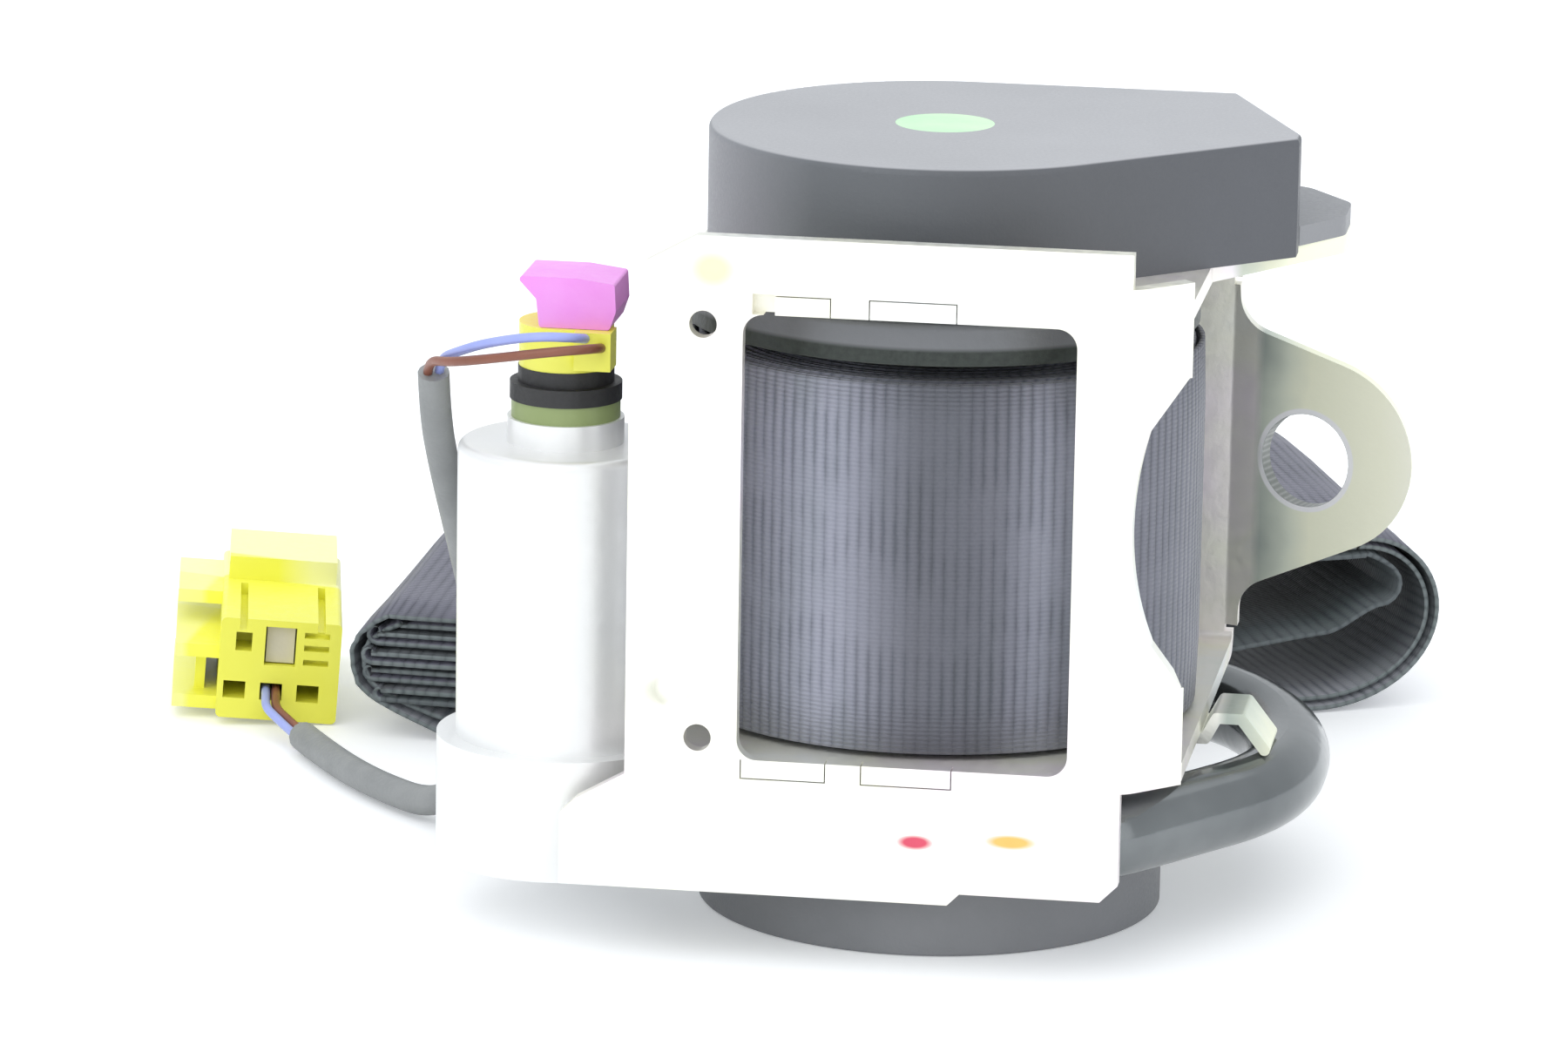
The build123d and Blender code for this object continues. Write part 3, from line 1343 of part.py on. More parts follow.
tail_blue = cord_tube(tail_route(1), wire_r)
tail_blue.label = "tail_blue"
export_step(tail_blue, "parts/tail_blue.step")

tail_brown = cord_tube(tail_route(-1), wire_r)
tail_brown.label = "tail_brown"
export_step(tail_brown, "parts/tail_brown.step")


# Free webbing: folded bundle on the floor, bent in plan, and the run down from the roll
def edge_plane(start, end):
    """Upright plane on the near edge of the bundle, with x along the edge from its start."""
    ahead = unit(end[0] - start[0], end[1] - start[1])
    return Plane(
        origin=(start[0], start[1], 0),
        x_dir=(ahead[0], ahead[1], 0),
        z_dir=(ahead[1], -ahead[0], 0),
    )


left_end, left_bend, right_bend, right_end = bundle_edge
left_len = hypot(left_bend[0] - left_end[0], left_bend[1] - left_end[1])
middle_len = hypot(right_bend[0] - left_bend[0], right_bend[1] - left_bend[1])
right_len = hypot(right_end[0] - right_bend[0], right_end[1] - right_bend[1])
high_r = bundle_high_h / 2
curl_foot = 12.0
with BuildPart() as webbing_bundle:
    # The left end curls up from the floor and leans out at the top
    with BuildSketch(edge_plane(left_end, left_bend)) as curl:
        with BuildLine():
            Polyline(
                (left_len, 0),
                (curl_foot, 0),
                (curl_foot * 0.14, bundle_low_h * 0.32),
                (0, bundle_low_h * 0.7),
                (curl_foot * 0.26, bundle_low_h),
                (left_len, bundle_low_h),
                close=True,
            )
        make_face()
        fillet(curl.vertices().filter_by(lambda v: v.X < curl_foot * 0.5), 2.5)
    extrude(amount=-web_width)
    with BuildSketch(edge_plane(left_bend, right_bend)):
        with BuildLine():
            Polyline(
                (0, 0),
                (middle_len, 0),
                (middle_len, bundle_high_h),
                (bundle_rise, bundle_high_h),
                (0, bundle_low_h),
                close=True,
            )
        make_face()
    extrude(amount=-web_width)
    with BuildSketch(edge_plane(right_bend, right_end)):
        with Locations((right_len - high_r, high_r)):
            Circle(high_r)
        with Locations(((right_len - high_r) / 2, high_r)):
            Rectangle(right_len - high_r, bundle_high_h)
    extrude(amount=-web_width)
webbing_bundle.part.label = "webbing_bundle"
export_step(webbing_bundle.part, "parts/webbing_bundle.step")

run_y = roll_r + web_t / 2 + 0.35
run_mid = roll_low + web_width / 2
turn_x = -31.0
turn_y = 42.6
turn_depth = turn_y - run_y
turn_steps = 5
turn_angle = 130.0
run_steps = 10
run_len = 74.0
flat_z = bundle_high_h + 0.4 + web_t / 2


def eased(t):
    """A smooth step from 0 to 1."""
    return t * t * (3 - 2 * t)


run_stations = [((-2.0, run_y, run_mid), (-1, 0), 0.0)]
for step in range(turn_steps + 1):
    a = radians(turn_angle * step / turn_steps)
    turn_spot = (turn_x - turn_depth * sin(a), turn_y - turn_depth * cos(a), run_mid)
    run_stations.append((turn_spot, (-cos(a), sin(a)), 0.0))
turn_out = run_stations[-1][0]
way_out = run_stations[-1][1]
for step in range(1, run_steps + 1):
    t = step / run_steps
    # The lower edge keeps its height while the webbing leans over onto the bundle
    spot = (
        turn_out[0] + way_out[0] * run_len * t,
        turn_out[1] + way_out[1] * run_len * t,
        run_mid + (flat_z - run_mid) * eased(t),
    )
    run_stations.append((spot, way_out, degrees(acos(1 - eased(t)))))
with BuildPart() as webbing_run:
    for place, heading, lean in run_stations:
        ahead = Vector(heading[0], heading[1], 0).normalized()
        level = Vector(-ahead.Y, ahead.X, 0)
        across = Vector(0, 0, 1) * cos(radians(lean)) - level * sin(radians(lean))
        with BuildSketch(Plane(origin=place, x_dir=across, z_dir=ahead)):
            Rectangle(web_width, web_t)
    loft(ruled=True)
webbing_run.part.label = "webbing_run"
export_step(webbing_run.part, "parts/webbing_run.step")
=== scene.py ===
import json
import math

import bpy
from mathutils import Matrix, Vector, noise


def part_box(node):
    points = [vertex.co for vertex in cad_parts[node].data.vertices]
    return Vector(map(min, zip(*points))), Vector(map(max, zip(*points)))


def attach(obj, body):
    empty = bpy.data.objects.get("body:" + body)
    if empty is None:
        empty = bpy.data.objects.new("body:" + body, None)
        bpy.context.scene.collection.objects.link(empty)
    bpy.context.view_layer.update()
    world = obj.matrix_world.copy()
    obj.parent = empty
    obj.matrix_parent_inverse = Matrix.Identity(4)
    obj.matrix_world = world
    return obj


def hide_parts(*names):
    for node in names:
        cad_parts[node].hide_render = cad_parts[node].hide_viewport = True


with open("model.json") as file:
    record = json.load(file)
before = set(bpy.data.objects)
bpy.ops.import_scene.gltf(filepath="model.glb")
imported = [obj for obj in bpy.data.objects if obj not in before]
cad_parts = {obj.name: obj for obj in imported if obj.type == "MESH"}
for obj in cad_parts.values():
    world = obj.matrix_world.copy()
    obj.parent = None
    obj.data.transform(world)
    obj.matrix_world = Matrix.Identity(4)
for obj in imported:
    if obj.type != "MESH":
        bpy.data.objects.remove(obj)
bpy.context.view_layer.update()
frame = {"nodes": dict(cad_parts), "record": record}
nodes = frame["nodes"]
MM = 0.001


# Camera fitted to the photograph
AZ, EL, ROLL = math.radians(8.41), math.radians(13.64), math.radians(0.97)
target = Vector((-0.01943, 0.0, 0.04723))
back = Vector((math.sin(AZ) * math.cos(EL), -math.cos(AZ) * math.cos(EL), math.sin(EL)))
right = (-back).cross(Vector((0, 0, 1))).normalized()
up = right.cross(-back)
cam_right = right * math.cos(ROLL) + up * math.sin(ROLL)
cam_up = up * math.cos(ROLL) - right * math.sin(ROLL)
cam_data = bpy.data.cameras.new("camera")
cam_data.sensor_width = 36.0
cam_data.lens = 190.0
cam = bpy.data.objects.new("camera", cam_data)
bpy.context.scene.collection.objects.link(cam)
turn = Matrix((cam_right, cam_up, back)).transposed().to_4x4()
cam.matrix_world = Matrix.Translation(target + back * 1.04589) @ turn
cam_data.clip_start = 0.05
cam_data.clip_end = 30.0
bpy.context.scene.camera = cam


# Materials
def start(name):
    """An empty node material with its shader."""
    m = bpy.data.materials.new(name)
    m.use_nodes = True
    tree = m.node_tree
    tree.nodes.clear()
    out = tree.nodes.new("ShaderNodeOutputMaterial")
    bsdf = tree.nodes.new("ShaderNodeBsdfPrincipled")
    tree.links.new(bsdf.outputs[0], out.inputs[0])
    return m, tree, bsdf


def where(tree, kind="Object"):
    c = tree.nodes.new("ShaderNodeTexCoord")
    return c.outputs[kind]


def noise_at(tree, place, scale, detail=4.0, stretch=None):
    n = tree.nodes.new("ShaderNodeTexNoise")
    n.inputs["Scale"].default_value = scale
    n.inputs["Detail"].default_value = detail
    n.inputs["Roughness"].default_value = 0.55
    if stretch:
        m = tree.nodes.new("ShaderNodeMapping")
        m.inputs["Scale"].default_value = stretch
        tree.links.new(place, m.inputs["Vector"])
        place = m.outputs[0]
    tree.links.new(place, n.inputs["Vector"])
    return n.outputs["Fac"]


def ramp(tree, fac, stops):
    r = tree.nodes.new("ShaderNodeValToRGB")
    els = r.color_ramp.elements
    while len(els) < len(stops):
        els.new(0.5)
    for e, (at, col) in zip(els, stops):
        e.position = at
        e.color = (*col, 1.0)
    tree.links.new(fac, r.inputs[0])
    return r.outputs[0]


def spread(tree, fac, low, high, a=0.3, b=0.7):
    m = tree.nodes.new("ShaderNodeMapRange")
    m.inputs["From Min"].default_value = a
    m.inputs["From Max"].default_value = b
    m.inputs["To Min"].default_value = low
    m.inputs["To Max"].default_value = high
    tree.links.new(fac, m.inputs["Value"])
    return m.outputs[0]


def bump(tree, bsdf, height, depth, strength=1.0):
    b = tree.nodes.new("ShaderNodeBump")
    b.inputs["Distance"].default_value = depth
    b.inputs["Strength"].default_value = strength
    tree.links.new(height, b.inputs["Height"])
    tree.links.new(b.outputs[0], bsdf.inputs["Normal"])


def surface(name, tones, rough=(0.4, 0.6), metal=0.0, scale=45.0, grain=900.0, depth=0.00005):
    """A surface whose colour, roughness and fine relief vary by noise."""
    m, tree, bsdf = start(name)
    place = where(tree)
    broad = noise_at(tree, place, scale, 5.0)
    step = 0.5 / max(1, len(tones) - 1)
    stops = [(0.25 + i * step, t) for i, t in enumerate(tones)]
    tree.links.new(ramp(tree, broad, stops), bsdf.inputs["Base Color"])
    fine = noise_at(tree, place, grain, 3.0)
    tree.links.new(spread(tree, fine, rough[0], rough[1]), bsdf.inputs["Roughness"])
    bsdf.inputs["Metallic"].default_value = metal
    bump(tree, bsdf, fine, depth)
    return m


def wave(tree, place, pitch, way, distortion=0.4, detail=1.0):
    """Bands of the given pitch in metres."""
    n = tree.nodes.new("ShaderNodeTexWave")
    n.wave_type = "BANDS"
    n.bands_direction = way
    n.inputs["Scale"].default_value = math.pi / 10.0 / pitch
    n.inputs["Distortion"].default_value = distortion
    n.inputs["Detail"].default_value = detail
    n.inputs["Detail Scale"].default_value = 1.5
    tree.links.new(place, n.inputs["Vector"])
    return n.outputs["Fac"]


def combine(tree, kind, *given):
    """Values and numbers through a math node."""
    n = tree.nodes.new("ShaderNodeMath")
    n.operation = kind
    for k, v in enumerate(given):
        if isinstance(v, (int, float)):
            n.inputs[k].default_value = v
        else:
            tree.links.new(v, n.inputs[k])
    return n.outputs[0]


def pick(tree, value, edges, tones):
    """Tones by steps of a value: each holds from its edge on."""
    r = tree.nodes.new("ShaderNodeValToRGB")
    r.color_ramp.interpolation = "CONSTANT"
    els = r.color_ramp.elements
    while len(els) < len(edges):
        els.new(0.5)
    for e, at, col in zip(els, edges, tones):
        e.position = at
        e.color = (*col, 1.0)
    tree.links.new(value, r.inputs[0])
    return r.outputs[0]


def blend(tree, kind, a, b, share=1.0):
    """Two colours through a mix node; a colour may be written out, and the share may be a value."""
    mix = tree.nodes.new("ShaderNodeMix")
    mix.data_type = "RGBA"
    mix.blend_type = kind
    for key, given in (("A", a), ("B", b)):
        socket = [i for i in mix.inputs if i.name == key and i.type == "RGBA"][0]
        if isinstance(given, tuple):
            socket.default_value = (*given, 1.0)
        else:
            tree.links.new(given, socket)
    if isinstance(share, (int, float)):
        mix.inputs[0].default_value = share
    else:
        tree.links.new(share, mix.inputs[0])
    return [o for o in mix.outputs if o.type == "RGBA"][0]


def inner_side(tree, side):
    """1 on the strip's hidden side, 0 on its shown side and edges."""
    return combine(tree, "COMPARE", side, 0.5, 0.16)


def webbing_surface(name, wound=True, tail_from=0.0):
    """Woven polyester: dark lines between the ribs, threads along the strip and soft bands of wear.

    The wound webbing is painted lighter than the folded one as painted sheen, with painted highlights in two
    strips across the roll and painted shade between them. The folded one has painted shade on its hidden
    side, inside its folds and on its tail, which starts at tail_from along the strip.
    """
    m, tree, bsdf = start(name)
    uv = where(tree, "UV")
    ribs = wave(tree, uv, 1.5 * MM, "X", 0.4, 1.0)
    weave = wave(tree, uv, 0.55 * MM, "Y", 1.6, 2.0)
    blocks = spread(tree, noise_at(tree, uv, 95.0, 2.0), 0.25, 1.0, 0.4, 0.62)
    bands = noise_at(tree, uv, 55.0, 3.0, (2.0, 0.5, 1.0))
    speck = noise_at(tree, uv, 2600.0, 2.0)
    if wound:
        # Across the roll the colour is painted in bands fixed to it, which turn with the spool: painted
        # highlights in two strips and painted shade between them.
        x = tree.nodes.new("ShaderNodeSeparateXYZ")
        tree.links.new(where(tree), x.inputs[0])
        across = spread(tree, x.outputs[0], 0.0, 1.0, -0.024, 0.024)
        base = ramp(
            tree,
            across,
            [
                (0.0, (0.220, 0.227, 0.268)),
                (0.12, (0.350, 0.360, 0.427)),
                (0.2, (0.325, 0.335, 0.397)),
                (0.27, (0.350, 0.360, 0.427)),
                (0.34, (0.320, 0.330, 0.390)),
                (0.44, (0.200, 0.206, 0.244)),
                (0.54, (0.125, 0.129, 0.152)),
                (0.68, (0.130, 0.134, 0.159)),
                (0.75, (0.165, 0.170, 0.201)),
                (0.85, (0.320, 0.330, 0.390)),
                (0.92, (0.220, 0.227, 0.268)),
                (1.0, (0.200, 0.206, 0.244)),
            ],
        )
    else:
        v = tree.nodes.new("ShaderNodeSeparateXYZ")
        tree.links.new(uv, v.inputs[0])
        # The across coordinate says which side it is: shown, hidden or edge
        side = spread(tree, v.outputs[1], 0.0, 1.0, -0.05, 0.25)
        # The hidden side is painted much darker than the shown side, and the edges a little lighter: painted
        # shade.
        base = pick(
            tree, side, (0.0, 0.33, 0.67), ((0.175, 0.175, 0.215), (0.030, 0.036, 0.036), (0.19, 0.22, 0.22))
        )
        spot = tree.nodes.new("ShaderNodeSeparateXYZ")
        tree.links.new(where(tree), spot.inputs[0])
        # On the hidden side the colour darkens with height, pale near the floor and almost black up inside
        # the folds: painted shade.
        height = spread(tree, spot.outputs[2], 0.0, 1.0, 0.0, 0.025)
        hidden = ramp(
            tree,
            height,
            [
                (0.12, (0.30, 0.31, 0.335)),
                (0.3, (0.13, 0.14, 0.15)),
                (0.55, (0.07, 0.08, 0.085)),
                (0.8, (0.02, 0.025, 0.025)),
            ],
        )
        base = blend(tree, "MIX", base, hidden, inner_side(tree, side))
        # From tail_from on, the strip's shown side is painted almost black except a band along one edge:
        # painted shade with a lit edge.
        near = spread(tree, v.outputs[1], 0.0, 1.0, 0.008, 0.018)
        tail = ramp(tree, near, [(0.0, (0.022, 0.028, 0.027)), (1.0, (0.115, 0.135, 0.14))])
        base = blend(tree, "MIX", base, tail, combine(tree, "GREATER_THAN", v.outputs[0], tail_from))
    shade = ramp(tree, bands, [(0.3, (0.80, 0.83, 0.82)), (0.5, (0.94, 0.94, 0.96)), (0.7, (1.0, 0.99, 1.0))])
    base = blend(tree, "MULTIPLY", base, shade, 0.9)
    lines = combine(tree, "POWER", ribs, 0.45)
    gap = combine(tree, "MULTIPLY", combine(tree, "SUBTRACT", 1.0, lines), blocks)
    grain = combine(tree, "MULTIPLY", combine(tree, "SUBTRACT", 1.0, weave), 0.16)
    fleck = combine(tree, "MULTIPLY", speck, 0.12)
    loss = combine(tree, "ADD", gap, combine(tree, "ADD", grain, fleck))
    tint = combine(tree, "SUBTRACT", 1.0, loss)
    dark = ramp(tree, tint, [(0.1, (0.50, 0.52, 0.54)), (0.9, (1, 1, 1))])
    tree.links.new(blend(tree, "MULTIPLY", base, dark, 0.85), bsdf.inputs["Base Color"])
    tree.links.new(spread(tree, speck, 0.5, 0.72), bsdf.inputs["Roughness"])
    bsdf.inputs["Sheen Weight"].default_value = 0.25 if wound else 0.12
    bsdf.inputs["Sheen Roughness"].default_value = 0.4
    relief = combine(tree, "ADD", lines, combine(tree, "MULTIPLY", weave, 0.4))
    bump(tree, bsdf, relief, 0.00014, 0.9)
    return m


def near_axis(tree, place, point, axis):
    """Distance in metres from an axis through a point."""
    sub = tree.nodes.new("ShaderNodeVectorMath")
    sub.operation = "SUBTRACT"
    tree.links.new(place, sub.inputs[0])
    sub.inputs[1].default_value = point
    cross = tree.nodes.new("ShaderNodeVectorMath")
    cross.operation = "CROSS_PRODUCT"
    tree.links.new(sub.outputs[0], cross.inputs[0])
    cross.inputs[1].default_value = axis
    size = tree.nodes.new("ShaderNodeVectorMath")
    size.operation = "LENGTH"
    tree.links.new(cross.outputs[0], size.inputs[0])
    return size.outputs["Value"]


def spot_mask(tree, place, x, z, half_x, half_z, soft):
    """1 inside an ellipse on the front plate's face, given in millimetres, 0 outside it."""
    part = tree.nodes.new("ShaderNodeSeparateXYZ")
    tree.links.new(place, part.inputs[0])
    dx = combine(tree, "DIVIDE", combine(tree, "SUBTRACT", part.outputs[0], x * MM), half_x * MM)
    dz = combine(tree, "DIVIDE", combine(tree, "SUBTRACT", part.outputs[2], z * MM), half_z * MM)
    rr = combine(tree, "ADD", combine(tree, "MULTIPLY", dx, dx), combine(tree, "MULTIPLY", dz, dz))
    inside = spread(tree, rr, 1.0, 0.0, 1.0 - soft, 1.0 + soft)
    front = spread(tree, part.outputs[1], 1.0, 0.0, PLATE_FACE + 0.0001, PLATE_FACE + 0.0004)
    return combine(tree, "MULTIPLY", inside, front)


def plate_surface(name, marks=(), lug=None):
    """Zinc plating with pale yellow, green and pink passivation tints, and the paint marks on it; on the lug,
    painted shade at its bend, and a painted glint and a painted shadow at its hole.
    """
    m, tree, bsdf = start(name)
    place = where(tree)
    broad = noise_at(tree, place, 30.0, 4.0)
    tones = [
        (0.84, 0.90, 0.86),
        (0.94, 0.95, 0.93),
        (0.95, 0.94, 0.82),
        (0.95, 0.88, 0.90),
        (0.90, 0.93, 0.96),
    ]
    base = ramp(tree, broad, [(0.26 + i * 0.12, t) for i, t in enumerate(tones)])
    fine = noise_at(tree, place, 800.0, 3.0)
    metal = 0.6
    if lug:
        point, axis, x_from, x_to = lug
        part = tree.nodes.new("ShaderNodeSeparateXYZ")
        tree.links.new(place, part.inputs[0])
        on_lug = spread(tree, part.outputs[0], 0.0, 1.0, x_from - 0.0006, x_from + 0.0006)
        run = spread(tree, part.outputs[0], 0.0, 1.0, x_from, x_to)
        run = combine(tree, "ADD", run, combine(tree, "MULTIPLY", combine(tree, "SUBTRACT", broad, 0.5), 0.5))
        # Along the lug the yellow passivation tint starts dark olive at the bend, which is painted shade of
        # the bend, and then turns pale.
        chromate_and_bend_shade = ramp(
            tree,
            run,
            [
                (0.0, (0.50, 0.56, 0.50)),
                (0.1, (0.74, 0.79, 0.66)),
                (0.2, (0.97, 0.98, 0.76)),
                (0.6, (0.98, 0.98, 0.78)),
                (0.85, (0.99, 0.98, 0.86)),
                (1.0, (0.99, 0.93, 0.93)),
            ],
        )
        base = blend(tree, "MIX", base, chromate_and_bend_shade, on_lug)
        away = near_axis(tree, place, point, axis)
        # A white band round the lug hole's rim is a painted glint, and the inside of the hole is painted dark
        # as its shadow.
        painted_hole_glint = combine(tree, "MULTIPLY", spread(tree, away, 1.0, 0.0, 0.0067, 0.0069), on_lug)
        base = blend(tree, "MIX", base, (0.97, 0.97, 0.97), painted_hole_glint)
        painted_hole_shadow = combine(tree, "MULTIPLY", spread(tree, away, 1.0, 0.0, 0.00608, 0.00616), on_lug)
        base = blend(tree, "MIX", base, (0.10, 0.115, 0.10), painted_hole_shadow)
        past_bend = combine(tree, "MULTIPLY", on_lug, spread(tree, run, 0.0, 1.0, -0.05, 0.12))
        dull = combine(tree, "MULTIPLY", past_bend, 0.57)
        metal = combine(tree, "SUBTRACT", metal, dull)
    for x, z, half_x, half_z, tone, soft in marks:
        base = blend(tree, "MIX", base, tone, spot_mask(tree, place, x, z, half_x, half_z, soft))
    tree.links.new(base, bsdf.inputs["Base Color"])
    tree.links.new(spread(tree, fine, 0.30, 0.46), bsdf.inputs["Roughness"])
    if lug:
        tree.links.new(metal, bsdf.inputs["Metallic"])
    else:
        bsdf.inputs["Metallic"].default_value = metal
    bump(tree, bsdf, fine, 0.00004)
    return m


def cover_surface(name):
    """Grey moulding with painted light: lighter on its top and on the left of its side, darker to the right.
    """
    m, tree, bsdf = start(name)
    place = where(tree)
    part = tree.nodes.new("ShaderNodeSeparateXYZ")
    tree.links.new(place, part.inputs[0])
    broad = noise_at(tree, place, 28.0, 5.0)
    grain = ramp(tree, broad, [(0.3, (0.88, 0.88, 0.88)), (0.7, (1.0, 1.0, 1.0))])
    # The side is painted light at its left as a painted reflection and darker to the right as painted shade;
    # the top is painted lighter as painted light from above.
    along = spread(tree, part.outputs[0], 0.0, 1.0, -0.035, 0.040)
    side = ramp(
        tree,
        along,
        [
            (0.0, (0.34, 0.345, 0.368)),
            (0.3, (0.132, 0.142, 0.155)),
            (0.6, (0.10, 0.105, 0.116)),
            (1.0, (0.10, 0.105, 0.118)),
        ],
    )
    top = spread(tree, part.outputs[2], 0.0, 1.0, COVER_TOP - 0.0004, COVER_TOP - 0.0002)
    base = blend(tree, "MIX", side, (0.43, 0.433, 0.452), top)
    tree.links.new(blend(tree, "MULTIPLY", base, grain), bsdf.inputs["Base Color"])
    fine = noise_at(tree, place, 2200.0, 3.0)
    tree.links.new(spread(tree, fine, 0.4, 0.55), bsdf.inputs["Roughness"])
    bump(tree, bsdf, fine, 0.00004)
    return m


def head_surface(name):
    """Dark casting, painted darker on its lower part as painted shade and lighter on its rim as a painted
    highlight.
    """
    m, tree, bsdf = start(name)
    place = where(tree)
    part = tree.nodes.new("ShaderNodeSeparateXYZ")
    tree.links.new(place, part.inputs[0])
    fine = noise_at(tree, place, 1300.0, 3.0)
    # Below the rim the casting is painted dark as painted shade; above it the rim is painted lighter as a
    # painted highlight.
    rim = spread(tree, part.outputs[2], 0.0, 1.0, HEAD_RIM - 0.0003, HEAD_RIM + 0.0003)
    low = ramp(tree, fine, [(0.3, (0.022, 0.028, 0.024)), (0.7, (0.040, 0.048, 0.042))])
    tree.links.new(blend(tree, "MIX", low, (0.17, 0.175, 0.185), rim), bsdf.inputs["Base Color"])
    tree.links.new(spread(tree, fine, 0.35, 0.5), bsdf.inputs["Roughness"])
    bsdf.inputs["Metallic"].default_value = 0.3
    bump(tree, bsdf, fine, 0.00006)
    return m


def connector_surface(name):
    """Yellow plastic, painted pale on the hood and on the outer ribs as a painted highlight."""
    m, tree, bsdf = start(name)
    place = where(tree)
    part = tree.nodes.new("ShaderNodeSeparateXYZ")
    tree.links.new(place, part.inputs[0])
    broad = noise_at(tree, place, 60.0, 5.0)
    tone = ramp(tree, broad, [(0.3, (0.92, 0.90, 0.08)), (0.7, (0.96, 0.95, 0.12))])
    # The pale hood and outer ribs are painted highlights.
    hood = spread(tree, part.outputs[1], 0.0, 1.0, 0.0835, 0.0845)
    ribs = spread(tree, part.outputs[0], 1.0, 0.0, -0.1115, -0.1105)
    painted_glare = combine(tree, "MAXIMUM", hood, combine(tree, "MULTIPLY", ribs, 0.6))
    tree.links.new(blend(tree, "MIX", tone, (0.975, 0.975, 0.48), painted_glare), bsdf.inputs["Base Color"])
    fine = noise_at(tree, place, 1000.0, 3.0)
    tree.links.new(spread(tree, fine, 0.3, 0.42), bsdf.inputs["Roughness"])
    bump(tree, bsdf, fine, 0.00003)
    return m


# Faces and edges where the tones change, and the hole through the lug
PLATE_FACE = -0.037
COVER_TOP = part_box("mechanism_cover")[1].z
HEAD_RIM = 0.0776
LUG_HOLE = (0.043993, 0.032969, 0.0512)
LUG_AXIS = (0.34202, 0.939693, 0.0)
# Paint marks on the front plate: middle, half sizes in millimetres, colour and softness of the rim
MARKS = (
    (2.9, 16.8, 1.9, 0.8, (0.72, 0.10, 0.16), 0.5),
    (14.7, 17.5, 2.7, 0.8, (0.90, 0.55, 0.16), 0.5),
    (-23.2, 87.3, 2.3, 1.9, (0.96, 0.80, 0.55), 0.6),
    (-28.2, 34.3, 2.4, 1.6, (0.66, 0.66, 0.55), 0.8),
)
bright = surface(
    "bright_steel",
    [(0.74, 0.75, 0.76), (0.86, 0.86, 0.86)],
    rough=(0.22, 0.38),
    metal=0.9,
    scale=60.0,
    grain=1200.0,
    depth=0.00002,
)
dull_cast = surface(
    "die_casting",
    [(0.42, 0.42, 0.38), (0.56, 0.56, 0.52)],
    rough=(0.45, 0.65),
    metal=0.6,
    scale=90.0,
    grain=1500.0,
    depth=0.00008,
)
finish = {
    "frame_steel": plate_surface("frame_plating", lug=(LUG_HOLE, LUG_AXIS, 0.0372, 0.0645)),
    "tie_steel": plate_surface("tie_plating", marks=MARKS),
    "bright_steel": bright,
    "spring_steel": surface(
        "blued_strip",
        [(0.20, 0.22, 0.27), (0.34, 0.35, 0.38)],
        rough=(0.25, 0.4),
        metal=0.85,
        scale=80.0,
    ),
    "tube_steel": surface(
        "dark_tube",
        [(0.11, 0.12, 0.125), (0.22, 0.235, 0.24)],
        rough=(0.12, 0.2),
        metal=0.75,
        scale=40.0,
        grain=700.0,
        depth=0.00001,
    ),
    "zinc_casting": dull_cast,
    "head_casting": head_surface("head_casting"),
    "housing_casting": dull_cast,
    "chamber_metal": surface(
        "plated_chamber",
        [(0.84, 0.85, 0.85), (0.93, 0.93, 0.92)],
        rough=(0.3, 0.45),
        metal=0.35,
        scale=35.0,
        depth=0.00003,
    ),
    "black_moulding": surface(
        "black_moulding",
        [(0.018, 0.018, 0.019), (0.035, 0.035, 0.036)],
        rough=(0.45, 0.6),
        scale=60.0,
        grain=1600.0,
    ),
    "cover_moulding": surface(
        "grey_moulding",
        [(0.165, 0.17, 0.182), (0.20, 0.206, 0.218), (0.232, 0.236, 0.25)],
        rough=(0.4, 0.55),
        scale=28.0,
        grain=2200.0,
        depth=0.00004,
    ),
    "wheel_plastic": surface(
        "natural_plastic",
        [(0.74, 0.72, 0.66), (0.82, 0.80, 0.75)],
        rough=(0.4, 0.5),
        scale=50.0,
    ),
    "bush_plastic": surface(
        "bush_plastic",
        [(0.80, 0.79, 0.73), (0.87, 0.86, 0.81)],
        rough=(0.35, 0.45),
        scale=50.0,
    ),
    "green_plastic": surface(
        "green_plastic",
        [(0.50, 0.86, 0.52), (0.68, 0.93, 0.62)],
        rough=(0.35, 0.45),
        scale=90.0,
        grain=1100.0,
    ),
    "yellow_plastic": surface(
        "yellow_plastic",
        [(0.90, 0.89, 0.10), (0.96, 0.95, 0.15)],
        rough=(0.3, 0.42),
        scale=60.0,
        grain=1000.0,
        depth=0.00003,
    ),
    "magenta_plastic": surface(
        "magenta_plastic",
        [(0.86, 0.28, 0.82), (0.93, 0.40, 0.90)],
        rough=(0.3, 0.42),
        scale=90.0,
        grain=1000.0,
        depth=0.00003,
    ),
    "lock_plastic": surface(
        "lock_plastic",
        [(0.60, 0.55, 0.42), (0.70, 0.66, 0.52)],
        rough=(0.35, 0.45),
        scale=60.0,
        grain=1000.0,
    ),
    "seal_rubber": surface(
        "seal_rubber",
        [(0.03, 0.03, 0.03), (0.06, 0.06, 0.06)],
        rough=(0.6, 0.75),
        scale=60.0,
        grain=1000.0,
    ),
    "sleeve_plastic": surface(
        "sleeve_plastic",
        [(0.24, 0.25, 0.25), (0.33, 0.34, 0.34)],
        rough=(0.45, 0.6),
        scale=120.0,
        grain=1800.0,
        depth=0.00008,
    ),
    "blue_wire": surface(
        "blue_wire",
        [(0.30, 0.36, 0.78), (0.40, 0.46, 0.86)],
        rough=(0.3, 0.4),
        scale=150.0,
        grain=1800.0,
        depth=0.00002,
    ),
    "brown_wire": surface(
        "brown_wire",
        [(0.20, 0.07, 0.04), (0.30, 0.11, 0.07)],
        rough=(0.3, 0.4),
        scale=150.0,
        grain=1800.0,
        depth=0.00002,
    ),
    "webbing": webbing_surface("woven_webbing_painted_sheen"),
}
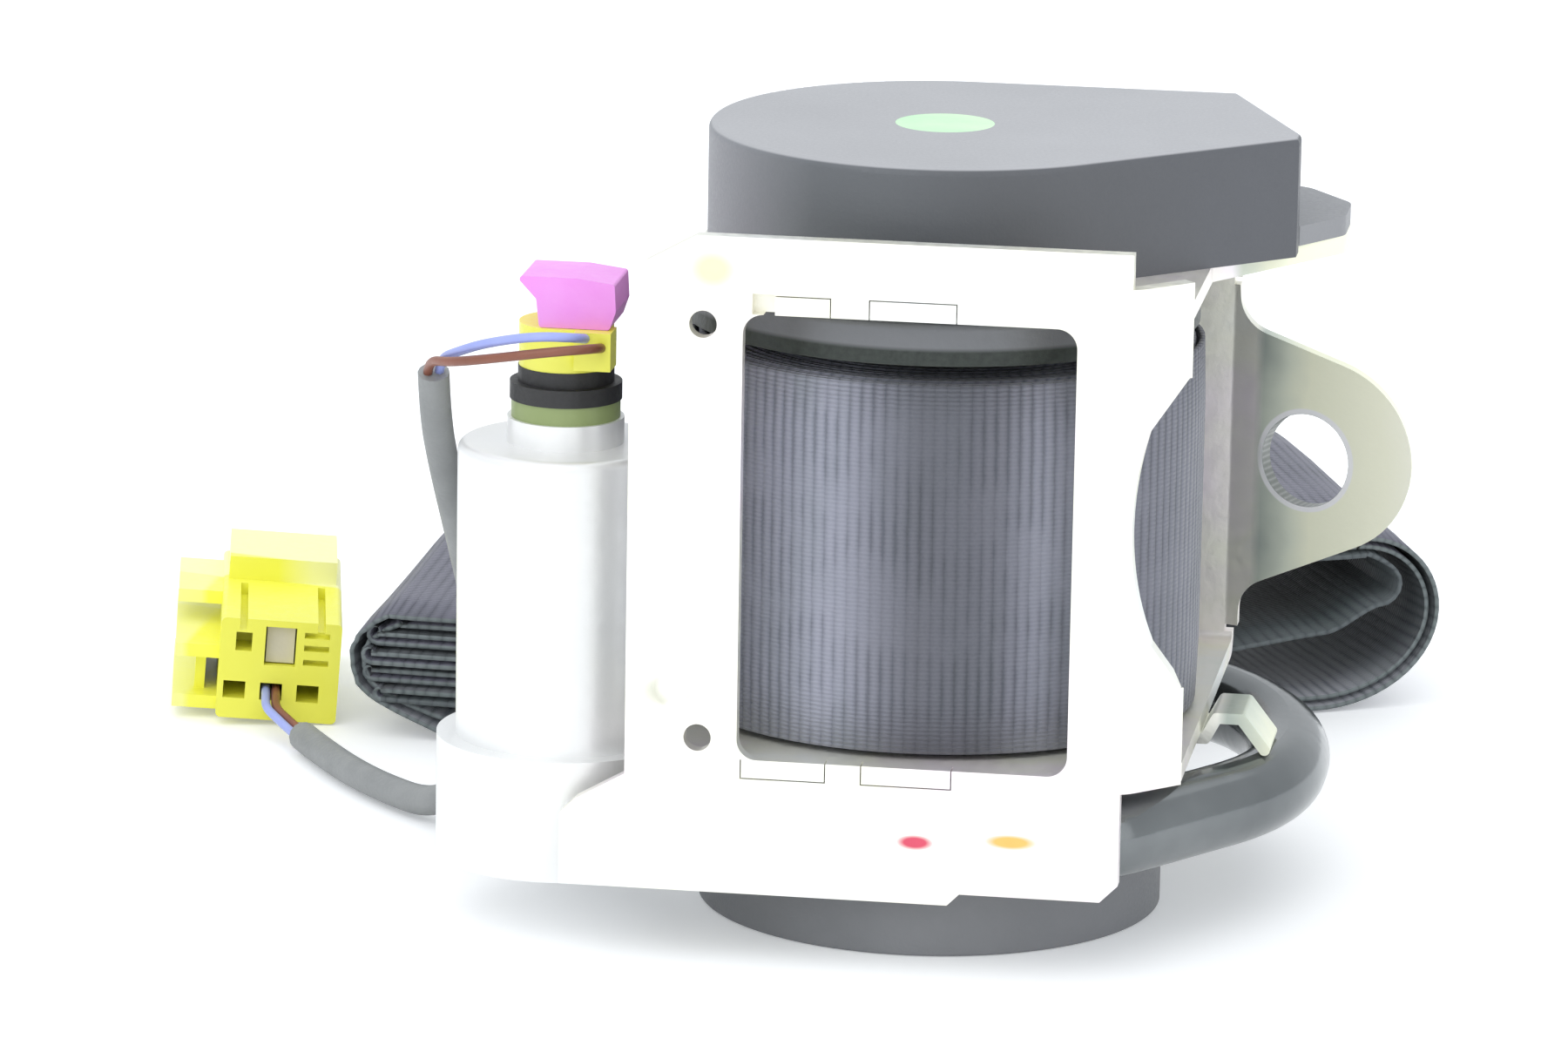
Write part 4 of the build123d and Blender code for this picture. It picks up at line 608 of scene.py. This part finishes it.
own_look = {
    "mechanism_base": surface(
        "base_moulding",
        [(0.24, 0.245, 0.26), (0.31, 0.315, 0.33)],
        rough=(0.4, 0.55),
        scale=30.0,
        grain=2000.0,
        depth=0.00004,
    ),
    "mechanism_cover": cover_surface("cover_shell_painted_light"),
    "squib_ring": surface(
        "ring_plastic",
        [(0.26, 0.33, 0.13), (0.34, 0.42, 0.18)],
        rough=(0.35, 0.45),
        scale=90.0,
        grain=1100.0,
    ),
    "harness_connector": connector_surface("connector_shell"),
}
for part in frame["record"]["subparts"]:
    node = nodes[part["node"]]
    for s in node.material_slots:
        s.link = "OBJECT"
        s.material = own_look.get(part["node"], finish[part["material_slot"]])


# Cords: the harness sleeve and the two wires between it and the plug
def cord_line(name, points, r, slot_name, body="retractor"):
    """A smooth tube whose control points are the cord's route."""
    curve = bpy.data.curves.new(name, "CURVE")
    curve.dimensions = "3D"
    line = curve.splines.new("NURBS")
    line.points.add(len(points) - 1)
    for spot, at in zip(line.points, points):
        spot.co = (at[0] * MM, at[1] * MM, at[2] * MM, 1.0)
        spot.radius = r * MM
    line.order_u = 3
    line.use_endpoint_u = True
    line.resolution_u = 16
    curve.bevel_depth = 1.0
    curve.bevel_resolution = 5
    curve.use_fill_caps = True
    piece = bpy.data.objects.new(name, curve)
    bpy.context.scene.collection.objects.link(piece)
    curve.materials.append(finish[slot_name])
    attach(piece, body)
    return piece


sleeve_points = [
    (-61.3, -17.2, 68.4),
    (-61.6, -14.4, 62.0),
    (-61.4, -9.2, 54.5),
    (-61.0, -2.5, 46.0),
    (-60.2, 4.5, 35.5),
    (-59.4, 10.4, 24.5),
    (-59.8, 14.6, 14.2),
    (-62.4, 16.6, 6.4),
    (-67.6, 17.6, 2.5),
    (-75.7, 25.2, 2.3),
    (-84.5, 36.4, 2.3),
    (-91.5, 48.5, 2.3),
]
blue_points = [
    (-40.9, -24.9, 75.3),
    (-41.0, -28.3, 76.1),
    (-46.4, -29.9, 76.4),
    (-52.9, -27.4, 74.7),
    (-57.6, -22.9, 72.3),
    (-60.0, -18.9, 70.6),
    (-60.65, -16.83, 68.4),
]
brown_points = [
    (-38.9, -24.9, 74.2),
    (-38.9, -28.0, 74.8),
    (-44.4, -30.4, 74.6),
    (-51.6, -29.2, 73.2),
    (-58.0, -24.6, 71.4),
    (-61.5, -19.2, 70.4),
    (-61.95, -17.57, 68.4),
]


def line_length(piece):
    """Length of a cord's own centreline."""
    curve = piece.data
    r = curve.bevel_depth
    curve.bevel_depth = 0.0
    mesh = bpy.data.meshes.new_from_object(piece.evaluated_get(bpy.context.evaluated_depsgraph_get()))
    curve.bevel_depth = r
    spots = [v.co for v in mesh.vertices]
    return sum((b - a).length for a, b in zip(spots, spots[1:]))


sleeve = cord_line("harness_sleeving", sleeve_points, 2.0, "sleeve_plastic")
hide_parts("harness_sleeve")
blue = cord_line("blue_lead", blue_points, 0.6, "blue_wire")
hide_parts("wire_blue")
brown = cord_line("brown_lead", brown_points, 0.6, "brown_wire")
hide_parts("wire_brown")
for piece, at in ((blue, blue_points[0]), (brown, brown_points[0])):
    line_length(piece)
line_length(sleeve)


# Webbing strips
# Added to the across coordinate of the hidden side, and given to the edges
BACK, RIM = 0.1, 0.2


def ribbon(name, stations, width, thick, shown=0.5, across_steps=6):
    """A closed woven strip. Each station is its centre, the way it runs and the way across it.

    The across coordinate of the UV map is near 0 on the shown side, BACK on the other and RIM on the edges.
    """
    verts, faces, uvs = [], [], []
    side = []
    for j in range(across_steps + 1):
        side.append((-0.5 + j / across_steps, 0.5))
    for j in range(across_steps + 1):
        side.append((0.5 - j / across_steps, -0.5))
    run = 0.0
    last = None
    along = []
    for centre, heading, across in stations:
        if last is not None:
            run += (centre - last).length
        last = centre
        along.append(run)
        normal = heading.cross(across).normalized()
        for a, b in side:
            edge = 1.0 if abs(a) < 0.499 else 0.55
            verts.append(centre + across * (a * width) + normal * (b * thick * edge))
    n = len(side)
    for i in range(len(stations) - 1):
        for j in range(n):
            k = (j + 1) % n
            faces.append((i * n + j, (i + 1) * n + j, (i + 1) * n + k, i * n + k))
            va, vb = side[j][0] * width, side[k][0] * width
            if side[j][1] != side[k][1]:
                va = vb = RIM
            elif side[j][1] != shown:
                va, vb = va + BACK, vb + BACK
            uvs.append(((along[i], va), (along[i + 1], va), (along[i + 1], vb), (along[i], vb)))
    for i, flip in ((0, False), (len(stations) - 1, True)):
        for j in range(across_steps):
            f = (i * n + j, i * n + j + 1, i * n + n - 2 - j, i * n + n - 1 - j)
            u = tuple((along[i], side[q - i * n][0] * width) for q in f)
            faces.append(f[::-1] if flip else f)
            uvs.append(u[::-1] if flip else u)
    mesh = bpy.data.meshes.new(name)
    mesh.from_pydata([tuple(v) for v in verts], [], faces)
    layer = mesh.uv_layers.new(name="UVMap")
    flat = [c for f in uvs for uv in f for c in uv]
    layer.data.foreach_set("uv", flat)
    mesh.shade_smooth()
    mesh.update()
    piece = bpy.data.objects.new(name, mesh)
    bpy.context.scene.collection.objects.link(piece)
    return piece, run


UPRIGHT = Vector((0, 0, 1))
WEB = 47.0 * MM
CUT = WEB * 0.985
THICK = 1.12 * MM
ROLL_R = 33.7 * MM
DRUM_R = 13.0 * MM
roll_low, roll_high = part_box("webbing_roll")
roll_mid = (roll_low.z + roll_high.z) / 2

# The wound turns
TURNS = 17
stations = []
per_turn = 72
total = TURNS * per_turn
for i in range(total + 1):
    t = i / total
    a = math.pi / 2 - 2 * math.pi * TURNS * (1 - t)
    wob = noise.noise(Vector((math.cos(a) * 1.5, math.sin(a) * 1.5, i / per_turn * 0.35)))
    r = DRUM_R + THICK / 2 + (ROLL_R - THICK - DRUM_R) * t + 0.07 * MM * wob
    lift = 0.32 * MM * noise.noise(Vector((i / per_turn * 0.9, 3.1, 0.4)))
    c = Vector((r * math.cos(a), r * math.sin(a), roll_mid + lift))
    stations.append((c, Vector((-math.sin(a), math.cos(a), 0)), UPRIGHT))
roll, roll_len = ribbon("webbing_turns", stations, CUT, THICK)
roll.data.materials.append(finish["webbing"])
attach(roll, "spool")
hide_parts("webbing_roll")

# The folded bundle follows the near edge of its CAD solid, which bends twice in plan
EDGE = [(-87.0, 58.6), (-62.0, 56.9), (34.0, 94.6), (55.5, 105.6)]
LOW_H, HIGH_H = 17.4 * MM, 24.8 * MM
RISE = 44.0 * MM
edge = [Vector((x, y, 0)) * MM for x, y in EDGE]
ways = [(b - a).normalized() for a, b in zip(edge, edge[1:])]
lefts = [Vector((-w.y, w.x, 0)) for w in ways]
mid_line = [edge[0] + lefts[0] * WEB / 2]
for k in (0, 1):
    lean_in = (lefts[k] + lefts[k + 1]) / (1 + lefts[k].dot(lefts[k + 1]))
    mid_line.append(edge[k + 1] + lean_in * WEB / 2)
mid_line.append(edge[3] + lefts[2] * WEB / 2)
reach = [0.0]
for a, b in zip(mid_line, mid_line[1:]):
    reach.append(reach[-1] + (b - a).length)
angles = [math.atan2(w.y, w.x) for w in ways]
EASE = 9.0 * MM


def eased(t):
    t = min(1.0, max(0.0, t))
    return t * t * (3 - 2 * t)


def heading_at(u):
    """Heading of the bundle's middle line, turning smoothly at its two bends."""
    h = angles[0]
    for k in (1, 2):
        h += (angles[k] - angles[k - 1]) * eased((u - reach[k]) / (2 * EASE) + 0.5)
    return h


table = [mid_line[0]]
STEP = 0.25 * MM
for i in range(int(reach[-1] / STEP) + 2):
    h = heading_at((i + 0.5) * STEP)
    table.append(table[-1] + Vector((math.cos(h), math.sin(h), 0)) * STEP)


# Rise of the bundle's far edge above its near edge at full height
FAR_LIFT = 6.0 * MM


def in_bundle(u, v, z):
    """The place u along the bundle and v to the left of its middle, and the way across it.

    The height z is the near edge's: towards the far edge the layers fan out and rise.
    """
    i = min(len(table) - 2, max(0, int(u / STEP)))
    spot = table[i].lerp(table[i + 1], u / STEP - i)
    h = heading_at(u)
    left = Vector((-math.sin(h), math.cos(h), 0))
    swell = FAR_LIFT * z / HIGH_H
    return spot + left * v + Vector((0, 0, z + swell / 2)), -(left * WEB + Vector((0, 0, swell))).normalized()


def rise_at(u):
    """Share of the rise from the bundle's low left end to its high right end."""
    return min(1.0, max(0.0, (u - reach[1]) / RISE))


# From the roll the strip runs to the left, turns back on itself and twists flat on its way to the bundle
START_X, TURN_X, TURN_Y = 3.0 * MM, -31.0 * MM, 42.6 * MM
TURN_ANGLE = 130.0
RUN_LENGTH = 74.0 * MM
path = []
for i in range(15):
    t = i / 14
    x = START_X + (TURN_X - START_X) * t
    y = ROLL_R + THICK / 2 + (0.25 + 0.35 * t) * MM
    path.append((Vector((x, y, roll_mid)), UPRIGHT))
turn_r = TURN_Y - (ROLL_R + THICK / 2 + 0.6 * MM)
for i in range(1, 19):
    a = math.radians(TURN_ANGLE * i / 18)
    path.append((Vector((TURN_X - turn_r * math.sin(a), TURN_Y - turn_r * math.cos(a), roll_mid)), UPRIGHT))
run_from = path[-1][0]
way = Vector((-math.cos(a), math.sin(a), 0))
side_way = Vector((-way.y, way.x, 0))
flat_z = HIGH_H + 0.4 * MM + THICK / 2 + FAR_LIFT / 2
last_lean = 1 + math.asin(FAR_LIFT / WEB) / (math.pi / 2)
for i in range(1, 39):
    t = i / 38
    spot = run_from + way * (RUN_LENGTH * t)
    spot.z = roll_mid + (flat_z - roll_mid) * eased(t)
    lean = math.acos(1 - eased(t)) * last_lean
    path.append((spot, UPRIGHT * math.cos(lean) - side_way * math.sin(lean)))

# On the bundle the strip turns in plan to lie along it
start_h = math.atan2(way.y, way.x)
top = HIGH_H - THICK / 2 - 0.02 * MM
land = path[-1][0].copy()
merge_u = reach[2] + 1.5 * MM
goal = in_bundle(merge_u, 0.0, top)[0]
end_h = heading_at(merge_u)
hop = (goal - land).length
for i in range(1, 13):
    t = i / 12
    h = start_h + (end_h - start_h) * eased(t)
    p0 = land + Vector((math.cos(start_h), math.sin(start_h), 0)) * hop * t
    p1 = goal - Vector((math.cos(end_h), math.sin(end_h), 0)) * hop * (1 - t)
    spot = p0.lerp(p1, eased(t))
    spot.z = flat_z + (goal.z - flat_z) * eased(t * 1.4)
    path.append((spot, Vector((math.sin(h) * WEB, -math.cos(h) * WEB, -FAR_LIFT)).normalized()))


def level(u0, u1, z0, z1, v, steps, wave=0.14, v_end=None):
    """A layer of the bundle from u0 to u1, moving from v to v_end across it.

    z0 and z1 are its heights at the low and the high end.
    """
    drift = 0.0 if v_end is None else v_end - v
    for i in range(1, steps + 1):
        t = i / steps
        u = u0 + (u1 - u0) * t
        sag = wave * MM * math.sin(t * 11.0 + v * 900.0) * math.sin(math.pi * t)
        path.append(in_bundle(u, v + drift * eased(t), z0 + (z1 - z0) * rise_at(u) + sag))


def bend(u, z0, z1, out, v, steps=8):
    """A fold of the bundle from height z0 down to z1 round the end at u."""
    mid, r = (z0 + z1) / 2, (z0 - z1) / 2
    for i in range(1, steps + 1):
        a = math.pi * i / steps
        path.append(in_bundle(u + out * r * math.sin(a), v, mid + r * math.cos(a)))


# Outline of the curled left end in millimetres: heights, and the distance there from the far left
CURL = [
    (0.0, 12.6),
    (1.2, 10.6),
    (3.2, 6.0),
    (5.0, 2.5),
    (6.7, 0.5),
    (8.8, -0.3),
    (11.3, -0.6),
    (13.6, 0.1),
    (15.8, 2.0),
    (17.4, 4.4),
]


def curl_at(z):
    """The curled end's distance from the far left at a height, straight between the outline's points."""
    h = z / MM
    for (z0, u0), (z1, u1) in zip(CURL, CURL[1:]):
        if h <= z1:
            return (u0 + (u1 - u0) * (h - z0) / (z1 - z0)) * MM
    return CURL[-1][1] * MM


def curl_up(z0, z1, inset, v, steps=26):
    """The strip round the curled left end from z0 up to z1, a distance inside its outline."""
    for i in range(1, steps + 1):
        t = i / steps
        path.append(in_bundle(curl_at(LOW_H * t) + inset * (1.0 + 0.25 * (1 - t)), v, z0 + (z1 - z0) * t))


def right_fold(z0, z1, inset, v, steps=30):
    """The right end's fold from the top layer down to the bottom one: full above, long and low below."""
    full, long_low = FOLD_FULL, 17.5 * MM
    tip = LONG + FOLD_PAST - THICK / 2 - inset
    mid = 13.4 * MM
    for i in range(steps + 1):
        a = math.pi * i / steps
        reach_back, half = (full, z0 - mid) if a <= math.pi / 2 else (long_low, mid - z1)
        path.append(in_bundle(tip - (reach_back - inset) * (1 - math.sin(a)), v, mid + half * math.cos(a)))


LONG = reach[-1]
FOLD_FULL, FOLD_PAST = 11.8 * MM, 1.4 * MM
INNER_END = 78.0 * MM
pitch = 1.3 * MM
low0 = THICK / 2 + 0.03 * MM
fold_u = LONG + FOLD_PAST - THICK / 2 - FOLD_FULL
shift = [0.0, 0.7 * MM, 0.3 * MM]
highs = [HIGH_H - THICK / 2, HIGH_H - THICK / 2 - pitch, HIGH_H - THICK / 2 - 2 * pitch]
left_tops = [0.0, LOW_H - THICK / 2, LOW_H - THICK / 2 - pitch]
lows = [low0, low0 + pitch]
level(merge_u, fold_u, highs[0], highs[0], 0.0, 8)
for k in (0, 1):
    v = shift[k]
    right_fold(highs[k], lows[k], k * pitch, v)
    level(LONG - 16.7 * MM, 12.8 * MM + k * pitch, lows[k], lows[k], v, 34, 0.08)
    curl_up(lows[k], left_tops[k + 1], THICK / 2 + k * pitch, v)
    end, end_z = (INNER_END, left_tops[2]) if k else (fold_u, highs[1])
    level(curl_at(LOW_H), end, left_tops[k + 1], end_z, v, 34, 0.08, shift[k + 1])

# Inside, the strip lies to and fro between the left end and a fold behind the frame
z = left_tops[2]
inner = 1.28 * MM
inner_v = [0.3 * MM, -0.5 * MM, 0.6 * MM, -0.2 * MM]
for k, v in enumerate(inner_v):
    bend(INNER_END, z, z - inner, 1, v)
    z -= inner
    near_u = curl_at(z) + 2.75 * MM + [0.0, 0.5, 0.1, 0.7][k] * MM
    level(INNER_END, near_u, z, z, v, 24, 0.05)
    bend(near_u, z, z - inner, -1, v)
    z -= inner
    if k < 3:
        level(near_u, INNER_END, z, z, v, 24, 0.05, inner_v[k + 1])
# The tail crosses the open fold, turns up inside it and ends under the top layers
TAIL_V = 0.5 * MM
TAIL_OUT, TAIL_BACK = 3.1 * MM, 3.4 * MM
TAIL_END = 88.0 * MM
tail_start = len(path)
last_u, last_z, last_v = near_u, z, inner_v[3]
TAIL = (
    (LONG / 2, 4.2 * MM),
    (LONG - 36.0 * MM, 8.4 * MM),
    (LONG - 15.0 * MM, 11.2 * MM),
    (LONG - 7.4 * MM, 14.6 * MM),
)
for u1, z in TAIL:
    for i in range(1, 13):
        t = i / 12
        v = last_v + (TAIL_V - last_v) * eased(t)
        path.append(in_bundle(last_u + (u1 - last_u) * t, v, last_z + (z - last_z) * (eased(t) + t) / 2))
    last_u, last_z, last_v = u1, z, TAIL_V
inner_top = highs[2]
for i in range(1, 13):
    a = math.pi * i / 12 / 1.2
    share = (1 - math.cos(a)) / (1 - math.cos(math.pi / 1.2))
    u = last_u + TAIL_OUT * math.sin(a) - TAIL_BACK * share * share
    path.append(in_bundle(u, TAIL_V, last_z + (inner_top - last_z) * share))
level(last_u - TAIL_BACK + TAIL_OUT * math.sin(a), TAIL_END, inner_top, inner_top, TAIL_V, 16, 0.05)

stations = []
for i, (p, across) in enumerate(path):
    a = path[max(i - 1, 0)][0]
    b = path[min(i + 1, len(path) - 1)][0]
    heading = (b - a).normalized()
    across = (across - heading * across.dot(heading)).normalized()
    stations.append((p, heading, across))
tail_from = sum((b[0] - a[0]).length for a, b in zip(path[:tail_start], path[1:tail_start]))
bundle, bundle_len = ribbon("folded_webbing", stations, CUT, THICK, shown=-0.5)
bundle.data.materials.append(webbing_surface("folded_webbing_painted_shade", wound=False, tail_from=tail_from))
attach(bundle, "retractor")
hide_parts("webbing_run", "webbing_bundle")


# Floor and light
floor_mat, tree, bsdf = start("pale_floor")
bsdf.inputs["Base Color"].default_value = (0.92, 0.92, 0.92, 1.0)
bsdf.inputs["Roughness"].default_value = 0.6
bsdf.inputs["Specular IOR Level"].default_value = 0.2
# What is seen of the floor is lifted towards white, and its shadow with it
light_path = tree.nodes.new("ShaderNodeLightPath")
seen = combine(tree, "ADD", light_path.outputs["Is Camera Ray"], light_path.outputs["Is Glossy Ray"])
seen = combine(tree, "ADD", seen, light_path.outputs["Is Transmission Ray"])
bsdf.inputs["Emission Color"].default_value = (0.92, 0.96, 1.0, 1.0)
tree.links.new(combine(tree, "MULTIPLY", seen, 0.27), bsdf.inputs["Emission Strength"])
mesh = bpy.data.meshes.new("ground")
mesh.from_pydata([(-9, -9, 0), (9, -9, 0), (9, 9, 0), (-9, 9, 0)], [], [(0, 1, 2, 3)])
floor = bpy.data.objects.new("ground", mesh)
floor.location.z = -0.0001
bpy.context.scene.collection.objects.link(floor)
floor.data.materials.append(floor_mat)

world = bpy.data.worlds.new("world")
bpy.context.scene.world = world
world.use_nodes = True
wt = world.node_tree
wt.nodes.clear()
w_out = wt.nodes.new("ShaderNodeOutputWorld")
w_bg = wt.nodes.new("ShaderNodeBackground")
w_bg.inputs["Color"].default_value = (0.93, 0.965, 1.0, 1)
w_bg.inputs["Strength"].default_value = 0.9
wt.links.new(w_bg.outputs[0], w_out.inputs[0])


LIT_POINT = Vector((0.0, 0.0, 0.04))


def area(name, at, watts, size):
    """A square lamp that faces the middle of the part."""
    d = bpy.data.lights.new(name, "AREA")
    d.energy = watts
    d.size = size
    o = bpy.data.objects.new(name, d)
    bpy.context.scene.collection.objects.link(o)
    o.location = at
    o.rotation_mode = "QUATERNION"
    o.rotation_quaternion = (LIT_POINT - Vector(at)).to_track_quat("-Z", "Y")


area("key", (-0.5, -1.3, 1.1), 8.0, 1.5)
area("fill", (1.2, -0.9, 0.7), 4.5, 1.5)
area("over", (0.0, 0.2, 1.5), 6.5, 2.2)

bpy.context.scene.view_settings.view_transform = "Standard"
